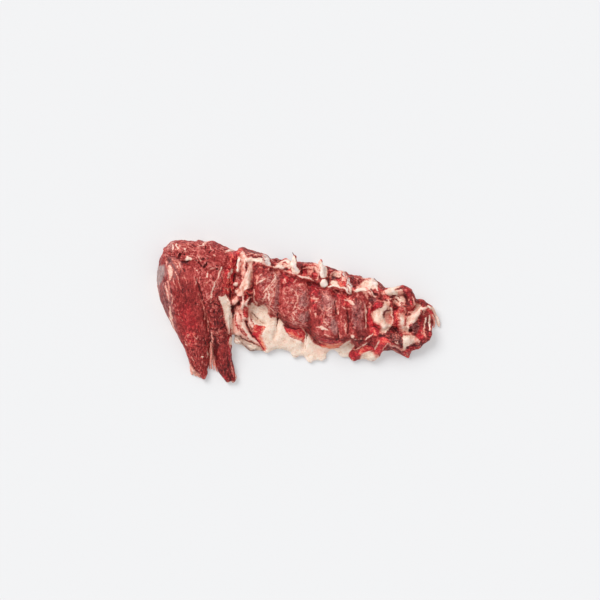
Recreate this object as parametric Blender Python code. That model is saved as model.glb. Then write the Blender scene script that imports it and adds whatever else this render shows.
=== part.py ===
"""A whole boneless joint of raw beef, lying flat with its boned side up.

The left end is the thick head, whose two long muscles taper into tongues. A
seam of loose fat bands joins it to the slab that lay under the ribs, which is
crossed by the grooves that the bones left. A ledge cut away from the spine
runs along the slab's back, a thin skirt of fat spreads in front of it, and
the ragged neck ends in a flap, a point and a loose string.

All plan positions are millimetres from the middle of the joint: +X towards
the neck, +Y towards the spine, +Z up from the table.
"""

from collections import namedtuple

import bmesh
import bpy
import numpy as np
from mathutils import Vector, noise

MM = 0.001

# Driving dimensions, in millimetres
HEAD_HEIGHT = 76
SLAB_HEIGHT = 64
LEDGE_HEIGHT = 50
NECK_HEIGHT = 46
SKIRT_HEIGHT = 26
TONGUE_TIP_HEIGHT = 22
VERTEBRA_SPACING = 54

# Sizes of the mesh, in millimetres
OUTLINE_STEP = 4.0
GRID_STEP = 2.0
VOXEL = 2.4
SMOOTHING_ROUNDS = 5
TRIANGLES = 10400

# A pad is widest at its waist, a share of its height up to a limit, and below
# that it tucks under by a share of the waist's height
WAIST_SHARE = 0.3
WAIST_LIMIT = 17.0
TUCK_SHARE = 0.8
BLEND = 5.0
TABLE_SNAP = 1.1

# The underside lies flat from this far inside the outline
FLAT_FROM = 16.0

# Surface noise: its length, and the height at which it has come in fully
ROUGH_LENGTH = 14.0
ROUGH_FROM = 12.0

Pad = namedtuple("Pad", "outline heights axis edge rough")
Strand = namedtuple("Strand", "path radius rise")
Groove = namedtuple("Groove", "path width depth")
Bump = namedtuple("Bump", "middle half_sizes rise")

# ---------------------------------------------------------------- the head

OUTER_MUSCLE = Pad(
    outline=[
        (-284, 50), (-284, 80), (-276, 112), (-262, 132), (-242, 141), (-214, 136),
        (-192, 110), (-184, 62), (-180, 2), (-176, -58), (-180, -108), (-192, -135),
        (-206, -124), (-218, -122), (-226, -88), (-244, -50), (-264, -12), (-278, 20),
    ],
    heights=(HEAD_HEIGHT, TONGUE_TIP_HEIGHT),
    axis=((-225, 40), (-195, -125)),
    edge=44,
    rough=0.8,
)

INNER_MUSCLE = Pad(
    outline=[
        (-204, 98), (-174, 112), (-142, 98), (-130, 62), (-142, 22), (-140, -22),
        (-132, -58), (-134, -84), (-128, -118), (-127, -138), (-134, -144), (-146, -141),
        (-162, -124), (-171, -94), (-178, -48), (-188, 6), (-200, 52),
    ],
    heights=(HEAD_HEIGHT - 10, TONGUE_TIP_HEIGHT - 2),
    axis=((-170, 20), (-135, -135)),
    edge=34,
    rough=0.8,
)

# What joins the two muscles under the furrow between them
HEAD_CORE = Pad(
    outline=[
        (-266, 60), (-244, 130), (-170, 132), (-132, 92), (-132, 20), (-134, -40),
        (-160, -74), (-200, -74), (-244, -30),
    ],
    heights=(HEAD_HEIGHT + 1, 34),
    axis=((-190, 50), (-178, -84)),
    edge=42,
    rough=0.4,
)

CUT_FACE = Pad(
    outline=[
        (-272, 118), (-258, 136), (-242, 143), (-208, 140), (-170, 139), (-140, 125),
        (-124, 112), (-122, 78), (-142, 62), (-174, 84), (-208, 92), (-242, 102),
    ],
    heights=(HEAD_HEIGHT - 2, SLAB_HEIGHT),
    axis=((-240, 110), (-130, 95)),
    edge=30,
    rough=2.0,
)

# ---------------------------------------------------------------- the seam

SEAM_FLOOR = Pad(
    outline=[
        (-148, 112), (-124, 122), (-112, 129), (-100, 122), (-82, 114), (-82, 62),
        (-86, 12), (-106, -22), (-130, -44), (-142, -14), (-142, 42),
    ],
    heights=(46, 34),
    axis=((-115, 110), (-125, -30)),
    edge=18,
    rough=1.2,
)

FAT_WEDGE = Pad(
    outline=[(-164, 32), (-138, 30), (-130, 4), (-134, -40), (-142, -44), (-156, -4)],
    heights=(58, 40),
    axis=((-150, 25), (-138, -40)),
    edge=12,
    rough=0.6,
)

SEAM_BANDS = [
    Strand([(-116, 118), (-119, 98), (-125, 76)], (5, 3.5), (54, 50)),
    Strand([(-104, 104), (-108, 72), (-118, 44)], (5, 3), (56, 50)),
    Strand([(-94, 94), (-99, 62), (-110, 38), (-124, 22), (-131, 14)], (7, 7), (60, 44)),
    Strand([(-112, 26), (-112, 4), (-108, -16)], (3, 6), (50, 44)),
    Strand([(-98, 26), (-106, 6), (-110, -14)], (3, 6), (50, 42)),
    Strand([(-156, 84), (-168, 54), (-176, 24)], (3.5, 3), (70, 70)),
]

# ---------------------------------------------------------------- the slab

RIB_SLAB = Pad(
    outline=[
        (-97, 92), (-66, 95), (-34, 83), (2, 69), (38, 55), (70, 48), (98, 38),
        (118, 42), (136, 28), (141, -8), (138, -42), (128, -66), (116, -74), (102, -64),
        (78, -69), (50, -67), (26, -54), (8, -36), (-12, -36), (-32, -22), (-54, -8),
        (-74, 10), (-92, 16), (-98, 52),
    ],
    heights=(SLAB_HEIGHT, SLAB_HEIGHT - 12),
    axis=((-40, 60), (110, -60)),
    edge=24,
    rough=0.6,
)

# Plan lines of the grooves that the ribs left across the slab
RIB_GROOVES = [
    Groove([(-39, 82), (-40, 30), (-43, -16)], 6.0, 6.5),
    Groove([(21, 60), (19, 10), (22, -48)], 6.0, 6.5),
    Groove([(70, 46), (73, 0), (77, -62)], 5.0, 6.0),
    Groove([(97, 34), (100, -10), (101, -62)], 5.0, 6.5),
    Groove([(133, 24), (135, -10), (136, -50)], 4.0, 4.0),
]

# ------------------------------------------------------- the spine's ledge

LEDGE = Pad(
    outline=[
        (-122, 122), (-112, 130), (-98, 123), (-70, 115), (-32, 101), (20, 97),
        (66, 86), (106, 72), (150, 63), (172, 46), (160, 22), (104, 24), (46, 44),
        (-18, 66), (-74, 86), (-112, 84),
    ],
    heights=(LEDGE_HEIGHT, LEDGE_HEIGHT - 6),
    axis=((-110, 110), (160, 40)),
    edge=16,
    rough=1.8,
)

# Where the slab's back edge rolls over to the ledge
LEDGE_RIDGE = Strand(
    [(-110, 112), (-92, 98), (-60, 94), (-20, 78), (20, 64), (56, 50), (84, 46), (104, 38)],
    (7, 6),
    (61, 53),
)

# Pale stumps stand across the ledge where each vertebra was cut off, and a pit
# lies between each stump and the next. The ledge's outer edge falls by
# SPINE_FALL for each millimetre along X.
FIRST_STUMP = (-64, 107)
SPINE_FALL = -0.24
STUMP_COUNT = 5
STUMP_LENGTH = 24
STUMP_RADIUS = 7
STUMP_HEIGHT = 58
PIT_OFFSET = (2, -6)
PIT_HALF_SIZES = (14, 9)
PIT_DEPTH = 12


def stump_place(k):
    """The outer end of stump k, on the ledge's outer edge. Halves lie between two."""
    along = k * VERTEBRA_SPACING
    return np.array(FIRST_STUMP, float) + (along, SPINE_FALL * along)


def spine_stumps():
    """Each stump is a short ridge from the outer edge inwards."""
    stumps = []
    for k in range(STUMP_COUNT):
        outer = stump_place(k)
        inner = outer + (0.2 * STUMP_LENGTH, -STUMP_LENGTH)
        radii = (STUMP_RADIUS, STUMP_RADIUS + 1)
        heights = (STUMP_HEIGHT - 3 * k, STUMP_HEIGHT - k)
        stumps.append(Strand([outer, inner], radii, heights))
    return stumps


def spine_pits():
    """The pit after each stump, just inside the outer edge."""
    return [
        Bump(stump_place(k + 0.5) + PIT_OFFSET, PIT_HALF_SIZES, -PIT_DEPTH)
        for k in range(STUMP_COUNT - 1)
    ]


# Thin tips of fat that stick out past the second and third stump
SPIKES = [
    Strand([(-8, 96), (-9, 108), (-10, 119)], (6.5, 3.2), (54, 48)),
    Strand([(44, 84), (43, 95), (42, 105)], (7, 3.4), (52, 48)),
]

# A bead of cartilage at the foot of the third stump
BEAD = Bump((50, 56), (8, 8), 6)

# --------------------------------------------------- the skirt and the flaps

SKIRT = Pad(
    outline=[
        (-132, -18), (-108, -2), (-74, 22), (-18, 10), (42, -20), (106, -40),
        (122, -78), (102, -91), (94, -95), (82, -93), (76, -84), (66, -80), (58, -84),
        (57, -97), (42, -101), (30, -101), (24, -107), (15, -97), (4, -91), (-6, -94),
        (-15, -91), (-21, -81), (-46, -78), (-60, -83), (-82, -81), (-98, -83),
        (-112, -71), (-128, -58),
    ],
    heights=(SKIRT_HEIGHT, 9),
    axis=((0, -34), (4, -92)),
    edge=10,
    rough=1.4,
)

PINK_WEDGE = Pad(
    outline=[
        (-134, -16), (-124, 8), (-102, 14), (-94, -10), (-74, -26), (-70, -44),
        (-72, -62), (-66, -82), (-88, -70), (-108, -58), (-130, -50),
    ],
    heights=(46, 20),
    axis=((-115, 5), (-72, -72)),
    edge=16,
    rough=0.8,
)

FRONT_FLAP = Pad(
    outline=[
        (100, -84), (108, -74), (126, -68), (150, -56), (174, -52), (178, -72),
        (164, -85), (157, -96), (146, -101), (128, -98), (108, -101), (100, -94),
    ],
    heights=(32, 14),
    axis=((150, -58), (125, -98)),
    edge=11,
    rough=1.0,
)

# A thick roll along the flap's inner side
FLAP_ROLL = Strand([(176, -56), (146, -72), (114, -88)], (9, 8), (34, 22))

SKIRT_GROOVES = [
    Groove([(-40, -12), (-44, -34), (-50, -56)], 4.0, 5.0),
    Groove([(14, -38), (11, -56), (8, -76)], 4.0, 5.0),
    Groove([(-102, 0), (-84, -17), (-68, -28)], 3.5, 8.0),
    Groove([(-106, -14), (-99, -36), (-84, -60)], 4.0, 9.0),
    Groove([(-134, -50), (-108, -58), (-84, -69), (-68, -79)], 3.0, 6.0),
    Groove([(100, -62), (118, -76), (140, -66), (160, -52)], 5.0, 5.0),
]

# ---------------------------------------------------------------- the neck

NECK = Pad(
    outline=[
        (106, 58), (146, 62), (174, 46), (206, 47), (228, 24), (262, 11), (270, -2),
        (264, -28), (263, -50), (244, -68), (222, -76), (198, -81), (174, -78),
        (146, -74), (122, -70), (106, -38), (102, 22),
    ],
    heights=(NECK_HEIGHT + 2, 26),
    axis=((140, 0), (262, -20)),
    edge=18,
    rough=1.6,
)

NECK_POINT = Pad(
    outline=[
        (168, -50), (198, -52), (226, -72), (224, -86), (216, -95), (202, -88),
        (184, -80), (168, -76),
    ],
    heights=(28, 12),
    axis=((185, -58), (214, -90)),
    edge=10,
    rough=0.8,
)

# Mounds of muscle and fat, and the hollows that the neck's bones left in them
NECK_BUMPS = [
    Bump((174, -10), (25, 35), 9),
    Bump((178, -12), (11, 20), -11),
    Bump((204, -14), (13, 27), 9),
    Bump((200, 20), (13, 9), 6),
    Bump((240, -30), (15, 22), -7),
    Bump((222, -37), (6, 6), -13),
    Bump((187, -55), (21, 18), 7),
    Bump((217, -62), (11, 17), 6),
    Bump((156, 12), (17, 10), 7),
    Bump((152, 42), (11, 8), -13),
]

NECK_FOLDS = [
    Strand([(170, 38), (194, 42), (212, 42), (223, 32), (225, 18), (214, 8)], (8, 10), (52, 48)),
    Strand([(108, 40), (132, 41), (148, 32), (160, 22)], (5, 5), (56, 50)),
    Strand([(228, 22), (248, 16), (265, 6)], (7, 5), (36, 26)),
    Strand([(252, 10), (232, -12), (218, -36)], (6, 6), (42, 42)),
    Strand([(206, -82), (228, -74), (248, -64), (260, -46), (260, -28)], (7, 7), (24, 30)),
    Strand([(262, 6), (272, -5), (278, -18), (283, -33)], (4.5, 3.2), (20, 5)),
    Strand([(262, -6), (266, -18), (268, -31)], (4.5, 3.0), (18, 6)),
]

NECK_GROOVES = [
    Groove([(143, 24), (141, -12), (147, -46)], 6.0, 9.0),
    Groove([(194, 24), (191, -12), (195, -46)], 4.0, 9.0),
    Groove([(204, 10), (218, 8), (232, 14)], 3.5, 8.0),
    Groove([(160, -42), (186, -36), (210, -44)], 4.0, 6.0),
    Groove([(212, -46), (228, -52), (246, -44)], 4.0, 5.0),
]

HEAD_GROOVES = [
    Groove([(-198, 52), (-194, 22), (-187, -6), (-180, -30)], 4.0, 4.0),
    Groove([(-188, -8), (-182, -36), (-177, -66), (-174, -112)], 5.0, 9.0),
    Groove([(-155, 84), (-163, 56), (-174, 24), (-178, 4)], 4.0, 3.5),
    Groove([(-264, 104), (-234, 97), (-204, 92), (-180, 80), (-150, 76)], 5.0, 6.0),
    Groove([(-126, 104), (-134, 62), (-134, 36), (-122, 12)], 6.0, 12.0),
]

# A nodule of fat in the seam, and the bulb where its widest band ends
SEAM_BUMPS = [Bump((-128, 54), (7, 6), 6), Bump((-130, 16), (10, 9), 8)]

PADS = [
    SKIRT, SEAM_FLOOR, LEDGE, NECK, NECK_POINT, FRONT_FLAP, PINK_WEDGE, RIB_SLAB,
    HEAD_CORE, FAT_WEDGE, OUTER_MUSCLE, INNER_MUSCLE, CUT_FACE,
]
GROOVES = RIB_GROOVES + HEAD_GROOVES + SKIRT_GROOVES + NECK_GROOVES
BUMPS = spine_pits() + [BEAD] + SEAM_BUMPS + NECK_BUMPS
STRANDS = (
    SEAM_BANDS + [LEDGE_RIDGE] + spine_stumps() + SPIKES + [FLAP_ROLL] + NECK_FOLDS
)

# The muscles' own roughness, and where the knife or saw left a rough face: its
# middle, half sizes and extra roughness
MUSCLE_ROUGHNESS = 0.8
CUT_AREAS = [
    ((-200, 118), (90, 26), 2.0),
    ((-112, 60), (26, 70), 1.5),
    ((30, 82), (150, 30), 1.8),
    ((200, -10), (85, 75), 2.2),
]

# ---------------------------------------------------------------- shaping


def smooth_path(points, closed):
    """Points every OUTLINE_STEP along a Catmull-Rom curve through points."""
    points = np.array(points, float)
    count = len(points)
    made = []
    for i in range(count if closed else count - 1):
        near = [i - 1, i, i + 1, i + 2]
        near = [k % count for k in near] if closed else np.clip(near, 0, count - 1)
        a, b, c, d = points[near]
        pieces = max(2, round(np.linalg.norm(c - b) / OUTLINE_STEP))
        for t in np.arange(pieces) / pieces:
            bend = (2 * a - 5 * b + 4 * c - d) * t**2 + (3 * b - a - 3 * c + d) * t**3
            made.append(0.5 * (2 * b + (c - a) * t + bend))
    return np.array(made if closed else [*made, points[-1]])


def ragged(outline, amount):
    """The outline with each point moved along its normal by smooth noise."""
    along = np.roll(outline, -1, axis=0) - np.roll(outline, 1, axis=0)
    normal = np.stack([along[:, 1], -along[:, 0]], axis=1)
    normal /= np.maximum(np.linalg.norm(normal, axis=1, keepdims=True), 1e-6)
    push = [noise.fractal(Vector((*p, 0)) / ROUGH_LENGTH, 0.7, 2.1, 3) for p in outline]
    return outline + normal * (amount * np.array(push))[:, None]


def distance_to(points, path, closed):
    """How far each plan point is from the path, and where along it, from 0 to 1."""
    starts = path if closed else path[:-1]
    ends = np.roll(path, -1, axis=0) if closed else path[1:]
    best = np.full(len(points), np.inf)
    where = np.zeros(len(points))
    for i, (a, b) in enumerate(zip(starts, ends)):
        side = b - a
        t = np.clip((points - a) @ side / max(side @ side, 1e-9), 0, 1)
        far = np.linalg.norm(points - a - t[:, None] * side, axis=1)
        nearer = far < best
        best[nearer] = far[nearer]
        where[nearer] = (i + t[nearer]) / len(starts)
    return best, where


def inside(points, outline):
    """True for each plan point within the closed outline."""
    odd = np.zeros(len(points), bool)
    for a, b in zip(outline, np.roll(outline, -1, axis=0)):
        if a[1] != b[1]:
            spans = (a[1] > points[:, 1]) != (b[1] > points[:, 1])
            crossing = a[0] + (points[:, 1] - a[1]) * (b[0] - a[0]) / (b[1] - a[1])
            odd ^= spans & (points[:, 0] < crossing)
    return odd


def bulge(share):
    """A quarter circle's height: 0 at the edge, 1 from the full radius inwards."""
    return np.sqrt(1 - (1 - np.clip(share, 0, 1)) ** 2)


def smooth_max(a, b):
    """The larger of two heights, with a soft blend where they are near equal."""
    with np.errstate(invalid="ignore"):
        near = np.nan_to_num(np.clip(1 - np.abs(a - b) / BLEND, 0, 1))
    return np.maximum(a, b) + near**2 * BLEND / 4


class Field:
    """The joint's upper and lower surface over a square grid on the table."""

    def __init__(self, low, high):
        self.across = np.arange(low[0], high[0], GRID_STEP)
        self.up = np.arange(low[1], high[1], GRID_STEP)
        grid = np.meshgrid(self.across, self.up, indexing="ij")
        self.plan = np.stack([g.ravel() for g in grid], axis=1)
        self.top = np.full(len(self.plan), -np.inf)
        self.base = np.full(len(self.plan), np.inf)

    def near(self, path, reach):
        """The grid points within reach of the path's bounding box."""
        clear = (self.plan > path.min(axis=0) - reach) & (self.plan < path.max(axis=0) + reach)
        return np.flatnonzero(clear.all(axis=1))

    def add_pad(self, pad):
        """A pillow of meat on the table: domed above its waist, tucked under below."""
        outline = ragged(smooth_path(pad.outline, closed=True), pad.rough)
        at = self.near(outline, 0)
        at = at[inside(self.plan[at], outline)]
        depth, _ = distance_to(self.plan[at], outline, closed=True)
        start, end = np.array(pad.axis, float)
        way = end - start
        along = np.clip((self.plan[at] - start) @ way / (way @ way), 0, 1)
        full = pad.heights[0] + (pad.heights[1] - pad.heights[0]) * along
        waist = np.minimum(WAIST_SHARE * full, WAIST_LIMIT)
        top = waist + (full - waist) * bulge(depth / pad.edge)
        base = waist * (1 - bulge(depth / (TUCK_SHARE * waist)))
        self.top[at] = smooth_max(self.top[at], top)
        self.base[at] = np.minimum(self.base[at], base)

    def add_bump(self, bump):
        """Raises a rounded mound on what is already there, or sinks a hollow."""
        offset = np.linalg.norm((self.plan - bump.middle) / bump.half_sizes, axis=1)
        self.top += bump.rise * bulge(1 - offset)

    def cut_groove(self, groove):
        """A soft valley along a path, fading out at its two ends."""
        path = smooth_path(groove.path, closed=False)
        at = self.near(path, 3 * groove.width)
        far, where = distance_to(self.plan[at], path, closed=False)
        fade = bulge(6 * np.minimum(where, 1 - where) + 0.15)
        self.top[at] -= groove.depth * fade * np.exp(-((far / groove.width) ** 2))

    def flatten_base(self):
        """Lays the underside on the table wherever it is well inside the outline."""
        inner = np.isfinite(self.top).reshape(len(self.across), len(self.up))
        for _ in range(round(FLAT_FROM / GRID_STEP)):
            near = np.pad(inner, 1)
            inner = inner & near[:-2, 1:-1] & near[2:, 1:-1] & near[1:-1, :-2] & near[1:-1, 2:]
        self.base[inner.ravel()] = 0

    def to_mesh(self, bm):
        """The closed plate between the two surfaces, a wall round its edge included."""
        shape = (len(self.across), len(self.up))
        solid = np.isfinite(self.top).reshape(shape)
        cells = solid[:-1, :-1] & solid[1:, :-1] & solid[:-1, 1:] & solid[1:, 1:]
        places = np.pad(cells, 1)
        used = places[:-1, :-1] | places[1:, :-1] | places[:-1, 1:] | places[1:, 1:]
        upper, lower = {}, {}
        for i, j in np.argwhere(used):
            k = i * shape[1] + j
            x, y = self.plan[k]
            upper[i, j] = bm.verts.new((x, y, self.top[k]))
            lower[i, j] = bm.verts.new((x, y, min(self.base[k], self.top[k] - 1)))
        for i, j in np.argwhere(cells):
            ring = [(i, j), (i + 1, j), (i + 1, j + 1), (i, j + 1)]
            bm.faces.new([upper[p] for p in ring])
            bm.faces.new([lower[p] for p in reversed(ring)])
            beyond = [places[i + 1, j], places[i + 2, j + 1], places[i + 1, j + 2], places[i, j + 1]]
            for a, b, filled in zip(ring, ring[1:] + ring[:1], beyond):
                if not filled:
                    bm.faces.new([upper[b], upper[a], lower[a], lower[b]])


def strand_object(strand):
    """A tapering tube that follows a plan path at its own heights."""
    path = smooth_path(strand.path, closed=False)
    data = bpy.data.curves.new("strand", "CURVE")
    data.dimensions = "3D"
    data.bevel_depth = 1.0
    data.bevel_resolution = 3
    data.use_fill_caps = True
    spline = data.splines.new("POLY")
    spline.points.add(len(path) - 1)
    for point, (x, y), share in zip(spline.points, path, np.linspace(0, 1, len(path))):
        radius = np.interp(share, (0, 1), strand.radius)
        height = np.interp(share, (0, 1), strand.rise)
        point.co = (x, y, max(height - radius, radius), 1)
        point.radius = radius
    return bpy.data.objects.new("strand", data)


def evaluated_mesh(obj):
    """The object's mesh with its modifiers applied."""
    bpy.context.view_layer.update()
    graph = bpy.context.evaluated_depsgraph_get()
    return bpy.data.meshes.new_from_object(obj.evaluated_get(graph), depsgraph=graph)


def fused(field, strands):
    """One closed mesh, in millimetres, of the field's plate and the strands."""
    bm = bmesh.new()
    field.to_mesh(bm)
    for strand in strands:
        tube = strand_object(strand)
        bpy.context.scene.collection.objects.link(tube)
        bm.from_mesh(evaluated_mesh(tube))
        bpy.data.objects.remove(tube)
    mesh = bpy.data.meshes.new("rough")
    bm.to_mesh(mesh)
    bm.free()
    obj = bpy.data.objects.new("rough", mesh)
    bpy.context.scene.collection.objects.link(obj)
    remesh = obj.modifiers.new("Fuse", "REMESH")
    remesh.mode = "VOXEL"
    remesh.voxel_size = VOXEL
    smooth = obj.modifiers.new("Soften", "SMOOTH")
    smooth.factor = 0.5
    smooth.iterations = SMOOTHING_ROUNDS
    mesh = evaluated_mesh(obj)
    bpy.data.objects.remove(obj)
    return mesh


def roughen(mesh):
    """Moves the surface by noise: little on the muscles, more on the cut faces."""
    count = len(mesh.vertices)
    places = np.empty(count * 3)
    mesh.vertices.foreach_get("co", places)
    places = places.reshape(-1, 3)
    normals = np.array([v.normal for v in mesh.vertices])
    amount = np.full(count, MUSCLE_ROUGHNESS)
    for middle, half_sizes, rough in CUT_AREAS:
        off = np.linalg.norm((places[:, :2] - middle) / half_sizes, axis=1)
        amount += rough * np.clip(1.5 - off, 0, 1)
    amount *= np.clip(places[:, 2] / ROUGH_FROM, 0, 1)
    lumps = [noise.fractal(Vector(p) / ROUGH_LENGTH, 0.8, 2.1, 3) for p in places]
    places += normals * (amount * np.array(lumps))[:, None]
    mesh.vertices.foreach_set("co", places.ravel())


def largest_piece(bm):
    """Drops every loose scrap, so that one connected body is left."""
    left = set(bm.verts)
    pieces = []
    while left:
        found, edge = set(), [left.pop()]
        while edge:
            vert = edge.pop()
            found.add(vert)
            linked = {e.other_vert(vert) for e in vert.link_edges} & left
            left -= linked
            edge += linked
        pieces.append(found)
    pieces.sort(key=len)
    for scrap in pieces[:-1]:
        bmesh.ops.delete(bm, geom=list(scrap), context="VERTS")


def flesh_material():
    """Raw beef: a deep wet red."""
    material = bpy.data.materials.new("flesh")
    material.use_nodes = True
    shader = material.node_tree.nodes["Principled BSDF"]
    shader.inputs["Base Color"].default_value = (0.30, 0.045, 0.04, 1)
    shader.inputs["Roughness"].default_value = 0.42
    shader.inputs["Metallic"].default_value = 0.0
    return material


def beef():
    """The finished joint: fused, roughened, thinned out and set flat on the table."""
    field = Field((-300, -160), (300, 160))
    for pad in PADS:
        field.add_pad(pad)
    for bump in BUMPS:
        field.add_bump(bump)
    for groove in GROOVES:
        field.cut_groove(groove)
    field.flatten_base()
    mesh = fused(field, STRANDS)
    roughen(mesh)

    bm = bmesh.new()
    bm.from_mesh(mesh)
    largest_piece(bm)
    for vert in bm.verts:
        if vert.co.z < TABLE_SNAP:
            vert.co.z = 0
    bm.to_mesh(mesh)
    bm.free()

    obj = bpy.data.objects.new("beef", mesh)
    bpy.context.scene.collection.objects.link(obj)
    thin = obj.modifiers.new("Thin out", "DECIMATE")
    thin.ratio = TRIANGLES / sum(len(face.vertices) - 2 for face in mesh.polygons)
    mesh = evaluated_mesh(obj)
    obj.modifiers.clear()
    obj.data = mesh
    corners = np.array([v.co for v in mesh.vertices])
    middle = (corners.min(axis=0) + corners.max(axis=0)) / 2
    for vert in mesh.vertices:
        vert.co = ((vert.co.x - middle[0]) * MM, (vert.co.y - middle[1]) * MM, vert.co.z * MM)
        if vert.co.z < TABLE_SNAP * MM:
            vert.co.z = 0
    mesh.materials.append(flesh_material())
    mesh.shade_smooth()
    return obj


def main():
    for obj in list(bpy.data.objects):
        bpy.data.objects.remove(obj)
    beef()


main()
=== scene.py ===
"""A raw boneless joint of beef on a pale table, seen from straight above.

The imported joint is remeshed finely, then marked: each mark is a shape drawn on
the plan in millimetres (a patch, a line or a spot) that turns the surface
there to fat, fresh red meat, film, cartilage or shadow, and may raise or sink
it. The marks become attributes, from which one material makes the colours.

Plan directions are the frame's: +X towards the neck, +Y towards the spine.
"""

from collections import namedtuple

import bmesh
import bpy
import numpy as np
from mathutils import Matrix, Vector


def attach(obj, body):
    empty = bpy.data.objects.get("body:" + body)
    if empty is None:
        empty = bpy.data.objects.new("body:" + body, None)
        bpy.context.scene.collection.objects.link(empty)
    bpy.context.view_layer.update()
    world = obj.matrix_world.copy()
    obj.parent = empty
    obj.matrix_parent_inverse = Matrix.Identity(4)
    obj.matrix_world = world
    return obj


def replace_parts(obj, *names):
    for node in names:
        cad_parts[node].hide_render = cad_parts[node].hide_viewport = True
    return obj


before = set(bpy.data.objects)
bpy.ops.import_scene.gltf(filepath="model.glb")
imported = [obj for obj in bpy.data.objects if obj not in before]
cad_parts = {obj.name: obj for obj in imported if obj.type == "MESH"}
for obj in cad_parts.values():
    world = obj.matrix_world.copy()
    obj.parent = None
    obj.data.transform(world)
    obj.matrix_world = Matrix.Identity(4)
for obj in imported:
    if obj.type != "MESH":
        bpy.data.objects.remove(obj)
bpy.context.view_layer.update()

MM = 0.001

# ------------------------------------------------------------ shapes on the plan

PATH_STEP = 3.0
PATCH_HALF = 8.0  # the half width that a patch gives


def smooth_path(points, closed):
    """Points every PATH_STEP along a Catmull-Rom curve through points."""
    points = np.array(points, float)
    count = len(points)
    made = []
    for i in range(count if closed else count - 1):
        near = [i - 1, i, i + 1, i + 2]
        near = [k % count for k in near] if closed else np.clip(near, 0, count - 1)
        a, b, c, d = points[near]
        pieces = max(2, round(np.linalg.norm(c - b) / PATH_STEP))
        for t in np.arange(pieces) / pieces:
            bend = (2 * a - 5 * b + 4 * c - d) * t**2 + (3 * b - a - 3 * c + d) * t**3
            made.append(0.5 * (2 * b + (c - a) * t + bend))
    return np.array(made if closed else [*made, points[-1]])


def distance_to(plan, path, closed):
    """How far each plan point is from the path, and where along it, from 0 to 1."""
    starts = path if closed else path[:-1]
    ends = np.roll(path, -1, axis=0) if closed else path[1:]
    best = np.full(len(plan), np.inf)
    where = np.zeros(len(plan))
    for i, (a, b) in enumerate(zip(starts, ends)):
        side = b - a
        t = np.clip((plan - a) @ side / max(side @ side, 1e-9), 0, 1)
        far = np.linalg.norm(plan - a - t[:, None] * side, axis=1)
        nearer = far < best
        best[nearer] = far[nearer]
        where[nearer] = (i + t[nearer]) / len(starts)
    return best, where


def inside(plan, outline):
    """True for each plan point within the closed outline."""
    odd = np.zeros(len(plan), bool)
    for a, b in zip(outline, np.roll(outline, -1, axis=0)):
        if a[1] != b[1]:
            spans = (a[1] > plan[:, 1]) != (b[1] > plan[:, 1])
            crossing = a[0] + (plan[:, 1] - a[1]) * (b[0] - a[0]) / (b[1] - a[1])
            odd ^= spans & (plan[:, 0] < crossing)
    return odd


def patch(*numbers):
    """A closed area whose outline runs through x,y pairs.

    A shape returns each plan point's depth inside it and its own half width there, both
    in millimetres, and points that show how far it reaches.
    """
    outline = smooth_path(np.reshape(numbers, (-1, 2)), closed=True)

    def depth(plan):
        far, _ = distance_to(plan, outline, closed=True)
        return np.where(inside(plan, outline), far, -far), PATCH_HALF

    return depth, outline


def line(numbers, widths):
    """A band through x,y pairs, whose half width follows widths from end to end."""
    path = smooth_path(np.reshape(numbers, (-1, 2)), closed=False)
    widths = np.atleast_1d(widths).astype(float)

    def depth(plan):
        far, where = distance_to(plan, path, closed=False)
        half = np.interp(where, np.linspace(0, 1, len(widths)), widths)
        return half - far, half

    return depth, path


def spot(x, y, long, wide, turn=0.0):
    """An ellipse at x,y with those half sizes, turned anticlockwise by turn degrees."""
    middle = np.array((x, y), float)
    c, s = np.cos(np.radians(turn)), np.sin(np.radians(turn))

    def depth(plan):
        off = plan - middle
        across = np.hypot((off @ (c, s)) / long, (off @ (-s, c)) / wide)
        return (1 - across) * min(long, wide), min(long, wide)

    reach = max(long, wide)
    return depth, np.array([middle - reach, middle + reach])


# ---------------------------------------------------------------- kinds of mark

# soft is how far a mark's edge spreads and rise how far the mark stands out, in millimetres
Mark = namedtuple("Mark", "kind shape amount soft rise strength", defaults=[0.0, 1.0])


def fat(shape, blush=0.15, rise=0.0, soft=1.8, strength=1.0):
    """Fat, from cream (blush 0) to salmon pink (1). Below full strength it breaks up."""
    return Mark("fat", shape, blush, soft, rise, strength)


def flush(shape, blush, soft=3.0):
    """Changes the blush of whatever fat is there."""
    return Mark("blush", shape, blush, soft)


def fresh(shape, amount=1.0, soft=2.0, rise=0.0):
    """Bright wet red meat."""
    return Mark("fresh", shape, amount, soft, rise)


def dark(shape, amount=1.0, soft=1.6, rise=0.0):
    """Painted shade in deep places and gaps, and darker dried meat."""
    return Mark("dark", shape, amount, soft, rise)


def film(shape, amount=1.0, soft=3.0):
    """Silvery membrane."""
    return Mark("film", shape, amount, soft)


def bone(shape, amount=1.0, soft=3.0, rise=0.0):
    """Grey-white cartilage."""
    return Mark("bone", shape, amount, soft, rise)


def web(shape, amount=1.0, soft=3.0):
    """A net of marbling."""
    return Mark("web", shape, amount, soft)


def tone(shape, lightness, soft=2.0):
    """How dark (0) or pale (1) the meat is."""
    return Mark("tone", shape, lightness, soft)


def streak(numbers, widths, blush=0.5, strength=0.85):
    """A thin line of fat, broken here and there."""
    return fat(line(numbers, widths), blush, soft=1.6, strength=strength)


def cleft(numbers, widths, amount, rise=-1.0):
    """A narrow gap, darkened with painted shade and sunk by as many millimetres as its rise is below
    zero.
    """
    return dark(line(numbers, widths), amount, soft=1.8, rise=rise)


def grit(shape, amount, soft=6.0):
    """How torn the lean is, from smooth fibres (0) to crags (1)."""
    return Mark("grit", shape, amount, soft)


def lean(shape, soft=1.8):
    """Clears any fat away."""
    return Mark("lean", shape, 0.0, soft)


def slim(shape, amount, soft=2.0):
    """Thins whatever stands there, by that many millimetres on every side."""
    return Mark("slim", shape, amount, soft)


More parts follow.
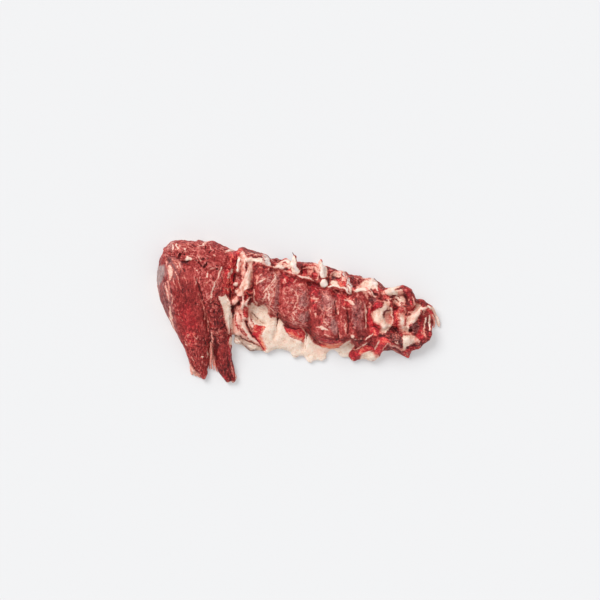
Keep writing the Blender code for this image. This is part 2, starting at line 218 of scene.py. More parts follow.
def fill(shape, share, soft=8.0):
    """Fills that share of the depth of every hollow there."""
    return Mark("fill", shape, share, soft)


def lift(shape, height, soft=7.0):
    """Raises or lowers whatever stands there by that many millimetres."""
    return Mark("lift", shape, height, soft)


# Hollows of the solid that are filled, and how torn the meat is, over wide areas
FILL_MARKS = [
    fill(patch(-142,122, -92,118, -90,20, -110,16, -146,26), 0.6),
    fill(patch(146,60, 300,60, 300,-110, 100,-110, 122,-62, 142,-30), 0.7),
    fill(patch(160,56, 216,56, 218,14, 224,10, 224,-46, 188,-46, 188,8), 0.92),
    fill(patch(-110,130, 60,110, 164,80, 170,30, 40,60, -60,92, -96,98), 0.35),
]

GRIT_MARKS = [
    grit(patch(-120,140, -60,126, 60,100, 164,74, 170,30, 40,60, -60,92, -110,100), 0.9, 10),
    grit(patch(140,60, 300,60, 300,-110, 110,-110, 120,-66, 142,-30), 0.6, 10),
]

# ---------------------------------------------------------------- the head

HEAD_MARKS = [
    # the cut face at the top, the smooth outer muscle and the torn inner one
    grit(patch(-300,150, -110,150, -110,84, -152,86, -178,88, -193,91, -208,99, -229,99, -246,108,
        -284,112), 1),
    grit(patch(-178,124, -152,114, -136,104, -142,92, -160,90, -176,95), 0.25),
    grit(patch(-262,66, -226,84, -200,50, -190,-10, -200,-40, -228,-40, -256,10), 0.1, 10),
    grit(patch(-206,92, -150,84, -140,30, -160,20, -178,10, -192,22), 0.65),
    grit(patch(-178,16, -152,16, -134,-60, -150,-70, -174,-60), 0.8),
    grit(patch(-226,-50, -186,-50, -182,-110, -196,-134, -214,-116), 0.6, 10),
    tone(patch(-290,150, -120,150, -124,84, -160,86, -200,96, -236,106, -278,112), 0.56, 6),
    tone(spot(-212,118, 20,12), 0.68, 8),
    tone(patch(-224,98, -196,92, -206,60, -232,70), 0.52, 6),
    tone(patch(-250,60, -206,62, -192,18, -190,-40, -226,-44, -250,0), 0.41, 8),
    tone(patch(-204,94, -152,86, -150,70, -178,24, -188,24), 0.61, 6),
    tone(patch(-226,-46, -186,-46, -178,-100, -194,-136, -214,-118), 0.44, 8),
    tone(patch(-180,8, -156,8, -150,-36, -160,-46, -176,-44), 0.3, 8),
    tone(patch(-176,-44, -136,-50, -126,-144, -150,-140, -172,-96), 0.26, 6),
    tone(patch(-160,-74, -146,-72, -142,-100, -152,-104), 0.42, 6),
    tone(patch(-150,-104, -136,-100, -130,-140, -146,-140), 0.16, 6),
    tone(patch(-284,46, -262,60, -252,4, -250,-40, -270,-8), 0.3, 5),
    fresh(patch(-244,10, -214,14, -200,-10, -200,-40, -224,-44, -240,-20), 0.42, 10),
    fresh(patch(-230,-40, -206,-44, -206,-66, -222,-70), 0.55, 5),
    # silverskin and pale streaks down the outer side
    film(patch(-290,88, -278,92, -267,92, -266,74, -270,62, -277,50, -288,52), 1.3),
    film(line((-280,54, -279,30, -273,6, -260,-20, -246,-46, -232,-76, -221,-100),
        (5, 3, 3.5, 3.5, 3, 2.5, 2)), 1.1),
    streak((-285,56, -282,40, -277,14, -264,-12, -248,-42, -234,-72), (1.6, 1.4, 1.6, 1.8, 1.2, 0.8),
        0.25, 0.9),
    film(patch(-274,62, -262,64, -256,40, -254,10, -258,-14, -270,6, -278,36), 0.55, 5),
    film(patch(-266,138, -250,142, -246,126, -250,118, -260,120), 0.9, 4),
    film(line((-262,122, -272,108, -278,94), 4), 0.5, 4),
    film(patch(-266,110, -250,108, -232,98, -230,82, -240,68, -254,58, -264,66), 0.8, 4),
    fat(line((-263,107, -264,96, -262,86), (1, 1.6, 1)), 0.5, 0, 2.2, 0.68),
    fat(patch(-258,93, -252,90, -250,80, -251,70, -256,60, -259,68, -260,80), 0.35, 0.2, 2.4, 0.82),
    fat(line((-252,104, -246,96, -240,88, -238,76), (1.2, 2, 2.2, 1.2)), 0.6, 0, 2.6, 0.66),
    tone(patch(-266,104, -248,100, -246,64, -262,62), 0.22, 4),
    fat(line((-242,100, -237,92, -236,82), (1.6, 2.2, 1)), 0.5, 0, 2.6, 0.68),
    streak((-246,78, -241,66, -237,52, -234,42), (1.4, 1, 0.8, 0.6), 0.5, 0.8),
    streak((-232,84, -228,70, -222,56), (0.8, 0.8, 0.5), 0.6, 0.7),
    streak((-250,132, -252,122), (1.4, 1.6), 0.05, 1),
    streak((-244,132, -240,124), (1.8, 1.2), 0.15, 1),
    fat(line((-268,56, -263,42, -259,26, -258,20), (0.8, 2.4, 2, 1)), 0.45, 0.1, 2.2, 0.76),
    film(line((-264,48, -260,30, -256,18), (4, 4, 3)), 1.1),
    streak((-253,34, -251,16), 1, 0.45),
    fat(line((-258,8, -256,-8, -252,-26, -247,-42), (1.6, 2.8, 2, 0.8)), 0.35, 0.3, 1.8, 0.82),
    film(line((-256,6, -254,-14, -250,-34), (4, 5, 3))),
    dark(line((-267,60, -266,76, -264,86), (1.6, 2.4, 1.2)), 0.35, 3),
    film(patch(-278,56, -262,62, -252,50, -248,20, -246,-10, -240,-36, -250,-40, -262,-14, -272,10),
        0.75, 6),
    film(line((-285,44, -279,12, -267,-18, -253,-48, -237,-80, -225,-108), (3, 3, 3, 2.5, 2.5, 2.5)),
        1.3),
    streak((-261,60, -258,46, -257,34), (1.4, 1.6, 1), 0.7, 0.72),
    streak((-266,44, -262,30), 0.9, 0.8, 0.65),
    streak((-250,66, -246,52, -243,40), (0.8, 0.7, 0.5), 0.7, 0.72),
    # scattered flecks of fat
    fat(patch(-226,105, -220,110, -212,105, -214,100, -223,99), 0.28, 0.6, 2),
    fat(spot(-237,128, 4,4), 0.8, 0, 2.5, 0.65),
    fat(spot(-226,123, 2.2,2), 0.4),
    fat(spot(-222,131, 3,4), 0.85, 0, 2.5, 0.6),
    fat(spot(-245,123, 1.6,2), 0.45),
    streak((-203,128, -190,133, -182,140), (1, 1.6, 1.4), 0.45, 1),
    streak((-201,110, -195,101), (1.4, 1.6), 0.7, 0.9),
    streak((-177,131, -174,122), (1.2, 1.6), 0.7),
    fat(spot(-168,111, 1.6,2.4), 0.8, 0, 1.8, 0.8),
    fat(spot(-203,81, 2.2,1.6), 0.3, 0, 1.6),
    streak((-181,77, -183,68), (0.6, 1.7), 0.25, 0.95),
    streak((-177,82, -169,85), (1, 1.4), 0.6, 0.9),
    fat(spot(-185,56, 4,5), 0.9, 0, 3, 0.6),
    streak((-203,66, -205,52), 0.8, 0.5, 0.8),
    fat(spot(-221,-48, 3,1.4, 30), 0.8, 0, 1.8, 0.75),
    streak((-209,-51, -204,-55), (0.8, 1.3), 0.55, 0.9),
    streak((-228,-58, -224,-70), (0.8, 0.9), 0.7, 0.75),
    fat(spot(-193,-92, 2.2,1.8), 0.3, 0, 1.6),
    streak((-183,-80, -181,-88), (1, 1.2), 0.4, 1),
    streak((-216,-92, -210,-102), (0.7, 0.9)),
    # a painted highlight, drawn as a small pale spot of fat
    fat(spot(-142,44, 2.6,2.4), 0.3, 0, 1.6),
    # the fringe at the outer tongue's tip
    tone(patch(-222,-100, -208,-114, -196,-128, -204,-134, -218,-130), 0.15),
    fat(patch(-222,-100, -216,-108, -208,-118, -198,-128, -204,-132, -218,-130, -226,-116),
        0.6, 0, 2.4, 0.82),
    film(line((-226,-92, -217,-112, -202,-128), (2, 4, 4))),
    # the furrow between the two muscles, with painted shade along it
    cleft((-207,68, -203,58, -199,50, -196,41, -192,28, -189,14), (0.5, 1.2, 1.7, 1.4, 1, 0.6), 0.8),
    streak((-200,34, -194,18, -189,4, -187,-16), (0.5, 0.8, 0.8, 0.5), 0.6, 0.8),
    dark(line((-186,10, -183,-10, -180,-30, -177,-52), (0.6, 0.8, 0.8, 1)), 0.6, 2, -0.8),
    streak((-184,4, -182,-20, -180,-40), (0.5, 0.8, 0.6), 0.6, 0.75),
    dark(line((-176,-58, -177,-68), 1.6), 0.9, 2, -1),
    film(line((-176,-38, -174,-60, -174,-84, -174,-112), (2, 3, 5, 6)), 1.1, 2.5),
    tone(line((-175,-42, -174,-82, -172,-114), (3, 4, 5)), 0.25),
    fat(line((-175,-42, -173,-60, -175,-82, -174,-100, -172,-114), (1, 1.4, 1.8, 2.4, 2.4)),
        0.75, 0.3, 2, 0.82),
    # the thin fat line that bounds the middle muscle
    fat(line((-154,86, -156,77, -161,66, -166,56, -171,45, -174,34, -176,18),
        (2.2, 1.9, 0.8, 1.4, 1.9, 1.4, 0.5)), 0.45, 0.3, 1.6, 0.88),
    dark(line((-167,54, -173,42), (0.6, 0.8)), 0.5),
    cleft((-156,72, -152,62, -147,53), (0.8, 1.2, 0.8), 0.9, -0.8),
    dark(patch(-164,60, -154,62, -150,46, -158,40, -166,44), 0.22, 3),
    # pits and torn places, darkened with painted shade
    cleft((-258,110, -246,108), (1.2, 1.4), 0.8, -1.2),
    dark(spot(-237,111, 2.4,4.4, -20), 1.1, 1.8, -2.5),
    dark(spot(-240,104, 3.4,2.2), 0.7, 2, -1.2),
    dark(line((-233,99, -226,98, -218,97), (1.6, 2, 0.8)), 0.9, 2, -1.6),
    dark(spot(-205,101, 2.6,1.8), 1, 1.6, -1.8),
    dark(spot(-189,105, 2,2.2), 0.9, 1.6, -1.6),
    dark(spot(-180,105, 2.6,1.6), 0.9, 1.6, -1.4),
    cleft((-200,98, -193,90), (1, 1.6), 0.9, -1.6),
    cleft((-188,88, -183,98), (2.6, 2), 1.1, -2.5),
    dark(spot(-186,128, 1.6,3.2), 1, 1.6, -1.8),
    dark(line((-178,116, -173,121), (1.8, 1.2)), 1, 1.6, -1.8),
    dark(spot(-167,118, 1.6,3, 20), 0.7, 1.8, -1.2),
    dark(spot(-162,84, 2.8,2.2), 1.1, 1.6, -2),
    dark(spot(-162,90, 3.2,1.4), 0.8, 1.6, -1.2),
    dark(spot(-196,82, 2.2,2.8, -30), 0.6, 2, -1),
    cleft((-231,84, -226,78), (1.2, 1.4), 0.8),
    cleft((-183,118, -196,112), (0.7, 0.9), 0.5, -0.8),
    cleft((-189,-56, -184,-68), (1.2, 1.4), 0.9),
    dark(spot(-211,-78, 4,2.6), 0.7, 2.5, -0.8),
    dark(spot(-195,-66, 3.6,1.8), 0.6, 2.5, -0.8),
    cleft((-176,14, -170,16, -164,12, -158,10), (0.7, 0.9, 1.8, 1.2), 0.9, -1.2),
    dark(line((-210,12, -204,15, -198,14), (0.8, 1.2, 0.6)), 0.7, 2, -0.6),
    cleft((-146,-26, -153,-35), (1.2, 2), 0.9, -1.2),
    cleft((-154,-24, -148,-28), (1, 1.6), 0.8),
    dark(line((-168,-52, -166,-68, -166,-86, -164,-98), (2, 4, 4, 2)), 0.9, 2.5, -1.2),
    dark(line((-142,-126, -138,-134, -132,-144), (1.4, 2, 1.6)), 0.9, 2, -1.2),
    dark(line((-137,-82, -133,-104, -130,-124), (0.9, 1.2, 1.2)), 0.7, 1.8),
    dark(spot(-146,-116, 3,3), 0.6, 2.5, -0.6),
    # the fresh red side towards the seam
    fresh(patch(-138,116, -120,118, -121,98, -127,72, -134,48, -130,34, -146,34, -155,40, -150,66,
        -148,84, -136,96), 0.72, 4),
    tone(spot(-149,54, 6,8), 0.34, 4),
    streak((-147,46, -141,42), (1.4, 1.8), 0.9),
    tone(patch(-140,116, -122,116, -124,60, -130,36, -150,36, -152,64, -140,92), 0.52, 4),
    fresh(line((-148,-8, -143,-22, -139,-40), (3, 3, 2)), 0.7, 3),
    fresh(line((-140,-54, -139,-74, -136,-100, -132,-128), (3.5, 3.5, 2.5, 2.5)), 0.8, 3),
    fresh(line((-148,-134, -150,-138), 4), 0.6, 3),
    streak((-140,-66, -138,-72), (0.8, 1.2), 0.7, 0.9),
    fat(line((-137,-102, -135,-116, -132,-132), (0.6, 1.1, 0.8)), 0.9, 0, 1.8, 0.75),
    streak((-129,-114, -127,-126, -126,-140), (0.8, 1.2, 1.4), 0.45, 0.9),
    streak((-142,-144, -134,-142, -128,-145), (1, 1.2, 1.2), 0.4, 0.9),
    dark(line((-139,84, -136,80), (1.6, 2)), 0.9, 2, -1.2),
    # the wedge of fat beside the inner muscle
    fat(patch(-159,29, -152,29, -146,34, -140,25, -137,18, -135,4, -134,-12, -136,-30, -139,-46,
        -142,-34, -146,-18, -150,-4, -155,12), 0.08, 0.6, 2.2),
    tone(patch(-159,29, -146,34, -134,-12, -139,-46, -150,-4), 0.56, 4),
    fat(line((-146,-18, -142,-34, -139,-46), (1.5, 1.5, 1.2)), 0.6),
    dark(line((-146,26, -144,18), 0.6), 0.3),
    dark(line((-140,12, -140,-8), (0.5, 0.7)), 0.25),
    fat(line((-146,120, -134,121, -122,121), (1, 2.6, 2)), 0.1, 0.4, 2),
]

# ---------------------------------------------------------------- the seam

SEAM_NET = patch(-124,78, -114,78, -112,58, -122,56)

SEAM_MARKS = [
    lift(spot(-100,40, 13,13), 9, 9),
    lift(line((-128,108, -131,80, -135,48, -135,30), (9, 9, 9, 8)), 6, 8),
    lift(patch(-142,122, -122,114, -98,104, -92,60, -92,20, -104,4, -124,0, -144,20, -146,60), 9, 12),
    grit(patch(-138,130, -98,124, -92,60, -96,10, -140,0), 0.7),
    tone(patch(-126,124, -98,116, -92,76, -96,30, -112,12, -130,44, -128,90), 0.5, 4),
    tone(line((-93,92, -90,70, -93,50, -98,40), (2, 3, 4, 4)), 0.38, 3),
    fresh(line((-126,118, -130,100, -131,80, -134,60, -134,48), (6, 6, 5, 5, 4)), 1.2, 3),
    tone(line((-126,118, -130,100, -132,80, -135,60), (6, 6, 5, 5)), 0.46, 3),
    tone(line((-141,67, -137,74, -132,83), (2.4, 3.4, 2)), 0.9),
    fat(line((-141,67, -137,74, -132,83), (1.6, 2.6, 1.2)), 0.55, 0.8),
    # the seam's deep line: painted shadow
    cleft((-124,107, -124,94, -126,80), (1, 1.4, 0.8), 0.9),
    cleft((-126,76, -128,68, -130,58), (1, 1.8, 1.2), 0.95),
    cleft((-137,45, -135,37, -137,28), (1.4, 2.6, 1.4), 1.1, -1.5),
    # painted shade under the bulb of fat
    cleft((-136,10, -130,9, -124,13, -118,17), (1.6, 2, 3.4, 2.2), 1.2, -3.5),
    cleft((-133,6, -131,-4, -133,-14), (2.6, 2.4, 1), 0.7, -1.5),
    tone(SEAM_NET, 0.56, 3),
    web(SEAM_NET, 0.7),
    dark(line((-116,88, -115,79), 1.6), 0.6, 2, -0.5),
    cleft((-104,101, -104,90, -107,77), (0.9, 1.6, 0.9), 0.7, -0.5),
    fresh(patch(-113,40, -104,42, -95,40, -97,27, -108,26), 1.2, 2.5, -1),
    cleft((-102,34, -97,28), (1.8, 1.6), 1.1),
    cleft((-97,26, -98,12), 1.6, 0.7),
    cleft((-96,44, -94,37), 1.2, 0.5, -0.5),
    dark(line((-101,46, -99,42), (1.4, 2)), 0.7, 2, -0.8),
    cleft((-115.5,28, -115,20), (0.9, 1.3), 0.8),
    fat(line((-119,106, -121,93, -122,79), (1.8, 2.6, 2.2)), 0.06, 1.2),
    fat(patch(-118,115, -112,119, -106,111, -102,105, -102,98, -106,94, -108,78, -111,66, -115,76,
        -116,98), 0.55, 0.4, 2.4, 0.94),
    fat(patch(-119,98, -113,98, -113,82, -118,80), 0.85, 0, 2.6, 0.8),
    fat(line((-111,82, -112,72, -113,62), (1.4, 1.6, 1.2)), 0.9, 0, 1.8, 0.85),
    fat(patch(-100,99, -93,97, -92,78, -94,60, -97,48, -106,40, -112,32, -122,30, -126,40, -118,50,
        -110,66, -107,76, -101,88), 0.5, 0.5, 2.4),
    flush(patch(-100,80, -97,66, -103,52, -110,50, -107,62), 0.36, 4),
    tone(patch(-100,99, -92,97, -92,60, -106,40, -126,30, -118,52, -108,76), 0.36, 3),
    fat(spot(-127,20, 8,10), 0.8, 0.6, 2.5),
    tone(spot(-127,20, 9,11), 0.05, 3),
    fat(spot(-127,53, 5,3.8, 15), 0.4, 1),
    fat(line((-112,31, -111,20, -112,10), (1.6, 2.4, 3.4)), 0.55, 0.6, 2.2, 0.9),
    fat(line((-94,30, -101,22, -106,12), (1, 2.2, 3.6)), 0.55, 0.6, 2.2, 0.9),
]

# ------------------------------------------------------- the skirt and its wedge

SKIRT_MARKS = [
    fat(patch(-99,10, -94,16, -89,12.5, -81,10, -75,11.5, -70,11, -63,6, -59,-5, -57,-12, -50,-13,
        -45,-12, -43,-22, -41,-17, -38,-17, -33,-23, -30,-31, -26,-42, -20,-49, -13,-54, -5,-56, 3,-60,
        9,-64, 12,-52, 15,-44, 20,-49, 28,-61, 39,-69, 50,-71, 66,-69, 84,-67, 94,-63, 100,-59, 104,-64,
        110,-71, 104,-78, 100,-120, 0,-124, -62,-120, -72,-84, -66,-76, -72,-60, -76,-49, -70,-37,
        -71,-30, -87,-29, -94,-18, -98,-6), 0, 0.6, 3),
    fat(patch(-118,10, -110,12, -100,10, -100,-14, -94,-22, -88,-30, -74,-48, -66,-78, -84,-66, -96,-61,
        -109,-56, -120,-51, -134,-47, -134,-30, -127,2), 0.62, 0.3, 3),
    web(patch(-118,4, -102,8, -108,-20, -98,-50, -110,-56, -130,-46, -126,-10), 0.6, 4),
    fat(line((-112,-20, -109,-36, -99,-50, -88,-60), (2.4, 3.4, 3.8, 2)), 0.38, 0.4, 2.4),
    fat(line((-134,-6, -134,-24, -134,-42), (1.6, 2, 1.2)), 0.3, 0.5, 2),
    fat(line((-122,-4, -124,-22, -122,-42), (1, 1.4, 1.6)), 0.5, 0.2, 2.2, 0.85),
    fat(line((-101,8, -99,-4, -100,-16), (2.4, 2.6, 2.6)), 0.35, 0.4),
    dark(line((-137,-8, -138,-28, -137,-44), (1, 1, 0.6)), 0.5, 1.6, -0.8),
    dark(line((-130,-8, -131,-28), (0.8, 0.6)), 0.4),
    fresh(patch(-110,10, -103,9, -101,-2, -102,-14, -109,-12, -112,-2), 0.85, 2.5),
    streak((-106,8, -107,-2), (0.6, 0.8), 0.8, 0.8),
    fresh(spot(-123,-28, 4,3), 0.5, 2.5),
    dark(line((-121,-30, -118,-40), (0.8, 0.6)), 0.4, 1.8),
    tone(patch(-88,-26, -68,-28, -68,-37, -74,-49, -70,-60, -63,-78, -69,-81, -84,-62, -92,-46,
        -92,-34), 0.6, 3),
    fresh(patch(-88,-28, -70.5,-30, -70,-37, -76,-49, -72,-60, -65,-78, -69,-79, -84,-62, -92,-46,
        -92,-34), 1.2),
    tone(line((-71,-32, -72,-42, -76,-52, -71,-64, -67,-76), (2.5, 3.5, 3, 2, 1.6)), 0.95, 3.5),
    fat(line((-73,-34, -74,-40, -78,-50, -76,-60), (1.2, 1.8, 1.2, 0.8)), 1, 0, 2.4, 0.72),
    lean(line((-106,-21, -100,-32, -92,-48, -80,-62), (3, 4.6, 3, 1.4))),
    tone(line((-106,-21, -100,-32, -92,-48, -80,-62), (4, 6, 5, 2.4)), 0.36, 3),
    cleft((-106,-21, -101,-32, -94,-45, -87,-56, -79,-65, -70,-75), (1, 1.4, 1.2, 1, 0.9, 0.5), 0.85),
    streak((-103,-24, -99,-34, -95,-40), (0.8, 1.1, 0.8)),
    streak((-100,-26, -97,-36), (1.4, 1.2), 0.25),
    streak((-94,-30, -91,-42), (0.7, 0.9), 0.5, 0.8),
    streak((-98,-46, -90,-57), (1.2, 0.8), 0.9),
    lean(patch(-30,-28, -20,-32, -8,-30, 2,-28, 11,-38, 13,-46, 9,-60, 3,-56, -8,-54, -18,-48,
        -26,-40)),
    tone(patch(-30,-30, -14,-36, 0,-32, 10,-38, 13,-50, 8,-66, 2,-60, -8,-57, -18,-50, -27,-41),
        0.54, 2.5),
    fresh(patch(-27,-36, -14,-36, 0,-32, 8,-38, 11,-50, 8,-63, 2,-58, -8,-55, -18,-48, -25,-41),
        1.3, 2, -0.4),
    tone(line((-20,-47, -8,-53, 2,-57, 9,-62), (3, 4.5, 4.5, 3.5)), 1, 4.5),
    cleft((-31,-28, -22,-33, -12,-36, 2,-34), (1.4, 1.8, 1.2, 0.6), 0.8),
    fat(line((-19,-49, -10,-53, 0,-56, 7,-62), (1.4, 2.2, 2.2, 2.2)), 0.9, 0, 3.4, 0.85),
    streak((2,-32, 8,-37, 12,-45), (0.8, 1.2, 1), 0.7, 0.9),
    streak((-4,-40, 0,-47), (0.8, 1.2), 0.9, 0.75),
    fresh(line((46,-69, 58,-70.5, 72,-70, 86,-66), (2.4, 4.4, 4.4, 2)), 1.3, 3),
    tone(line((46,-70, 58,-71, 72,-71, 86,-66), (3.4, 5.4, 5.4, 3)), 1, 3.5),
    fresh(line((48,-64, 66,-65, 84,-62), (1.4, 1.6, 1.2)), 0.9),
    fresh(line((-127,-8, -125,-22, -119,-38), (1, 1.8, 1)), 0.75, 1.8),
    fresh(line((-120,2, -117,-10, -113,-20), (1, 1.4, 0.8)), 0.7, 1.8),
    fresh(line((-113,-34, -108,-44, -101,-54), (0.8, 1.4, 0.8)), 0.65, 1.6),
    fresh(line((-118,-28, -115,-40, -108,-50), (0.7, 1.1, 0.7)), 0.6, 1.5),
    dark(line((-133,1, -131,-10), (1.4, 1)), 0.7, 1.8),
    # the grey bark below the wedge
    fat(patch(-131,-47, -120,-51, -109,-57, -96,-62, -86,-66, -70,-79, -66,-90, -102,-90, -112,-76,
        -122,-60, -132,-54), 0, 0.3, 3),
    bone(patch(-112,-66, -98,-68, -86,-74, -84,-82, -100,-84), 0.5, 2.4),
    dark(patch(-130,-50, -120,-53, -109,-59, -96,-64, -86,-68, -72,-80, -70,-90, -102,-90, -110,-72,
        -120,-60), 0.5, 2),
    dark(patch(-128,-50, -112,-56, -98,-63, -92,-68, -104,-70, -116,-63), 0.72, 2.5),
    dark(spot(-105,-69, 2.2,1.2, 30), 0.8, 1.8),
    dark(spot(-93,-78, 2.6,1), 0.65, 1.8),
    dark(line((-120,-55, -108,-62), 0.6), 0.6),
    tone(patch(-122,-56, -96,-64, -74,-78, -100,-84, -112,-74), 0.1, 3),
    fat(patch(-137,-52, -130,-55, -119,-62, -114,-70, -120,-73, -138,-66), 0.2, 0.2, 2.2),
    tone(patch(-137,-52, -118,-62, -114,-70, -122,-74, -138,-68), 0.6),
    # painted shade along the bark's edges and the crease above it
    dark(line((-119,-57, -110,-68, -100,-77.5, -88,-79.5, -72,-79), (0.8, 1.4, 1.7, 1.5, 1)),
        0.95, 1.4),
    dark(line((-132,-48, -120,-51, -109,-57, -96,-62, -86,-67, -72,-79), (1, 1.5, 1.1, 1.1, 0.8, 0.4)),
        0.75, 1.6, -1.2),
    dark(line((-115,-65, -109,-72, -101,-81, -88,-81), (0.6, 1, 1, 0.7)), 0.55, 1.8),
    dark(line((-108,-64, -98,-68), (0.7, 1)), 0.35, 1.8),
    dark(line((-86,-72, -78,-78), (0.6, 0.9)), 0.35, 1.8),
    fat(line((-100,-70, -90,-74), (1.4, 2)), 0.15, 0, 1.8, 0.9),
    # creases and slits
    dark(line((-94,-2, -88,-8, -82,-15), (0.7, 1.2, 0.9)), 0.62, 1.6, -1.6),
    cleft((-78,-18, -73,-23, -67,-27), (0.5, 0.9, 0.5), 0.38, -1.2),
    cleft((-81,10, -76,9), (1.4, 1), 0.5, -0.8),
    dark(line((-43,-6, -42.6,-18, -43,-30), (1.6, 1.5, 0.6)), 0.85, 1.6, -2),
    cleft((-43,-30, -46,-42), (0.7, 0.4), 0.25),
    dark(line((14,-43, 16,-48, 15,-56), (1.6, 1.6, 0.5)), 0.9, 1.6, -1.8),
    cleft((15,-56, 13,-76), (0.7, 0.4), 0.25),
    dark(line((-55,-62, -54,-68), 1.2), 0.3, 2),
    dark(line((-22,-66, -20,-74), (0.9, 0.5)), 0.25, 2),
    dark(line((-17,-74, -15,-82, -17,-90), (0.5, 0.8, 0.6)), 0.55, 1.4),
    # painted shadow along the lower edge
    dark(line((-17,-86, -10,-91, 0,-92, 8,-95, 17,-102), (0.9, 1.2, 1, 1, 0.8)), 0.85, 1.4),
    dark(line((-56,-76, -40,-76, -30,-78), (0.5, 0.6, 0.5)), 0.35, 1.4),
    dark(line((-2,-70, -4,-84), (0.6, 0.5)), 0.2, 2),
    dark(spot(80,-84, 1.6,1.2), 0.8),
    dark(spot(85,-93, 1.6,1), 0.8),
    dark(spot(93,-92, 1.2,0.9), 0.7),
    fat(line((84,-72, 94,-66, 101,-60), (3, 3, 2)), 0.2, 0.6, 2.5),
    fat(spot(-60,0, 3,8), 0.8, 0, 3, 0.7),
    fat(spot(46,-80, 16,5), 0.3, 0, 6),
    fat(spot(-36,-60, 16,8), 0.18, 0, 8),
    tone(patch(-60,-30, -30,-50, 20,-64, 60,-76, 96,-70, 90,-92, 0,-110, -60,-84), 0.56, 8),
    # paler where the slope faces away from the light: painted light
    tone(patch(84,-76, 92,-66, 102,-60, 109,-72, 100,-90, 86,-88), 0.95, 5),
]

# ---------------------------------------------------------------- the slab

SECOND_FOOT = spot(10,-11, 12,13)
GROOVE_BEAD = spot(29,22, 7,5)

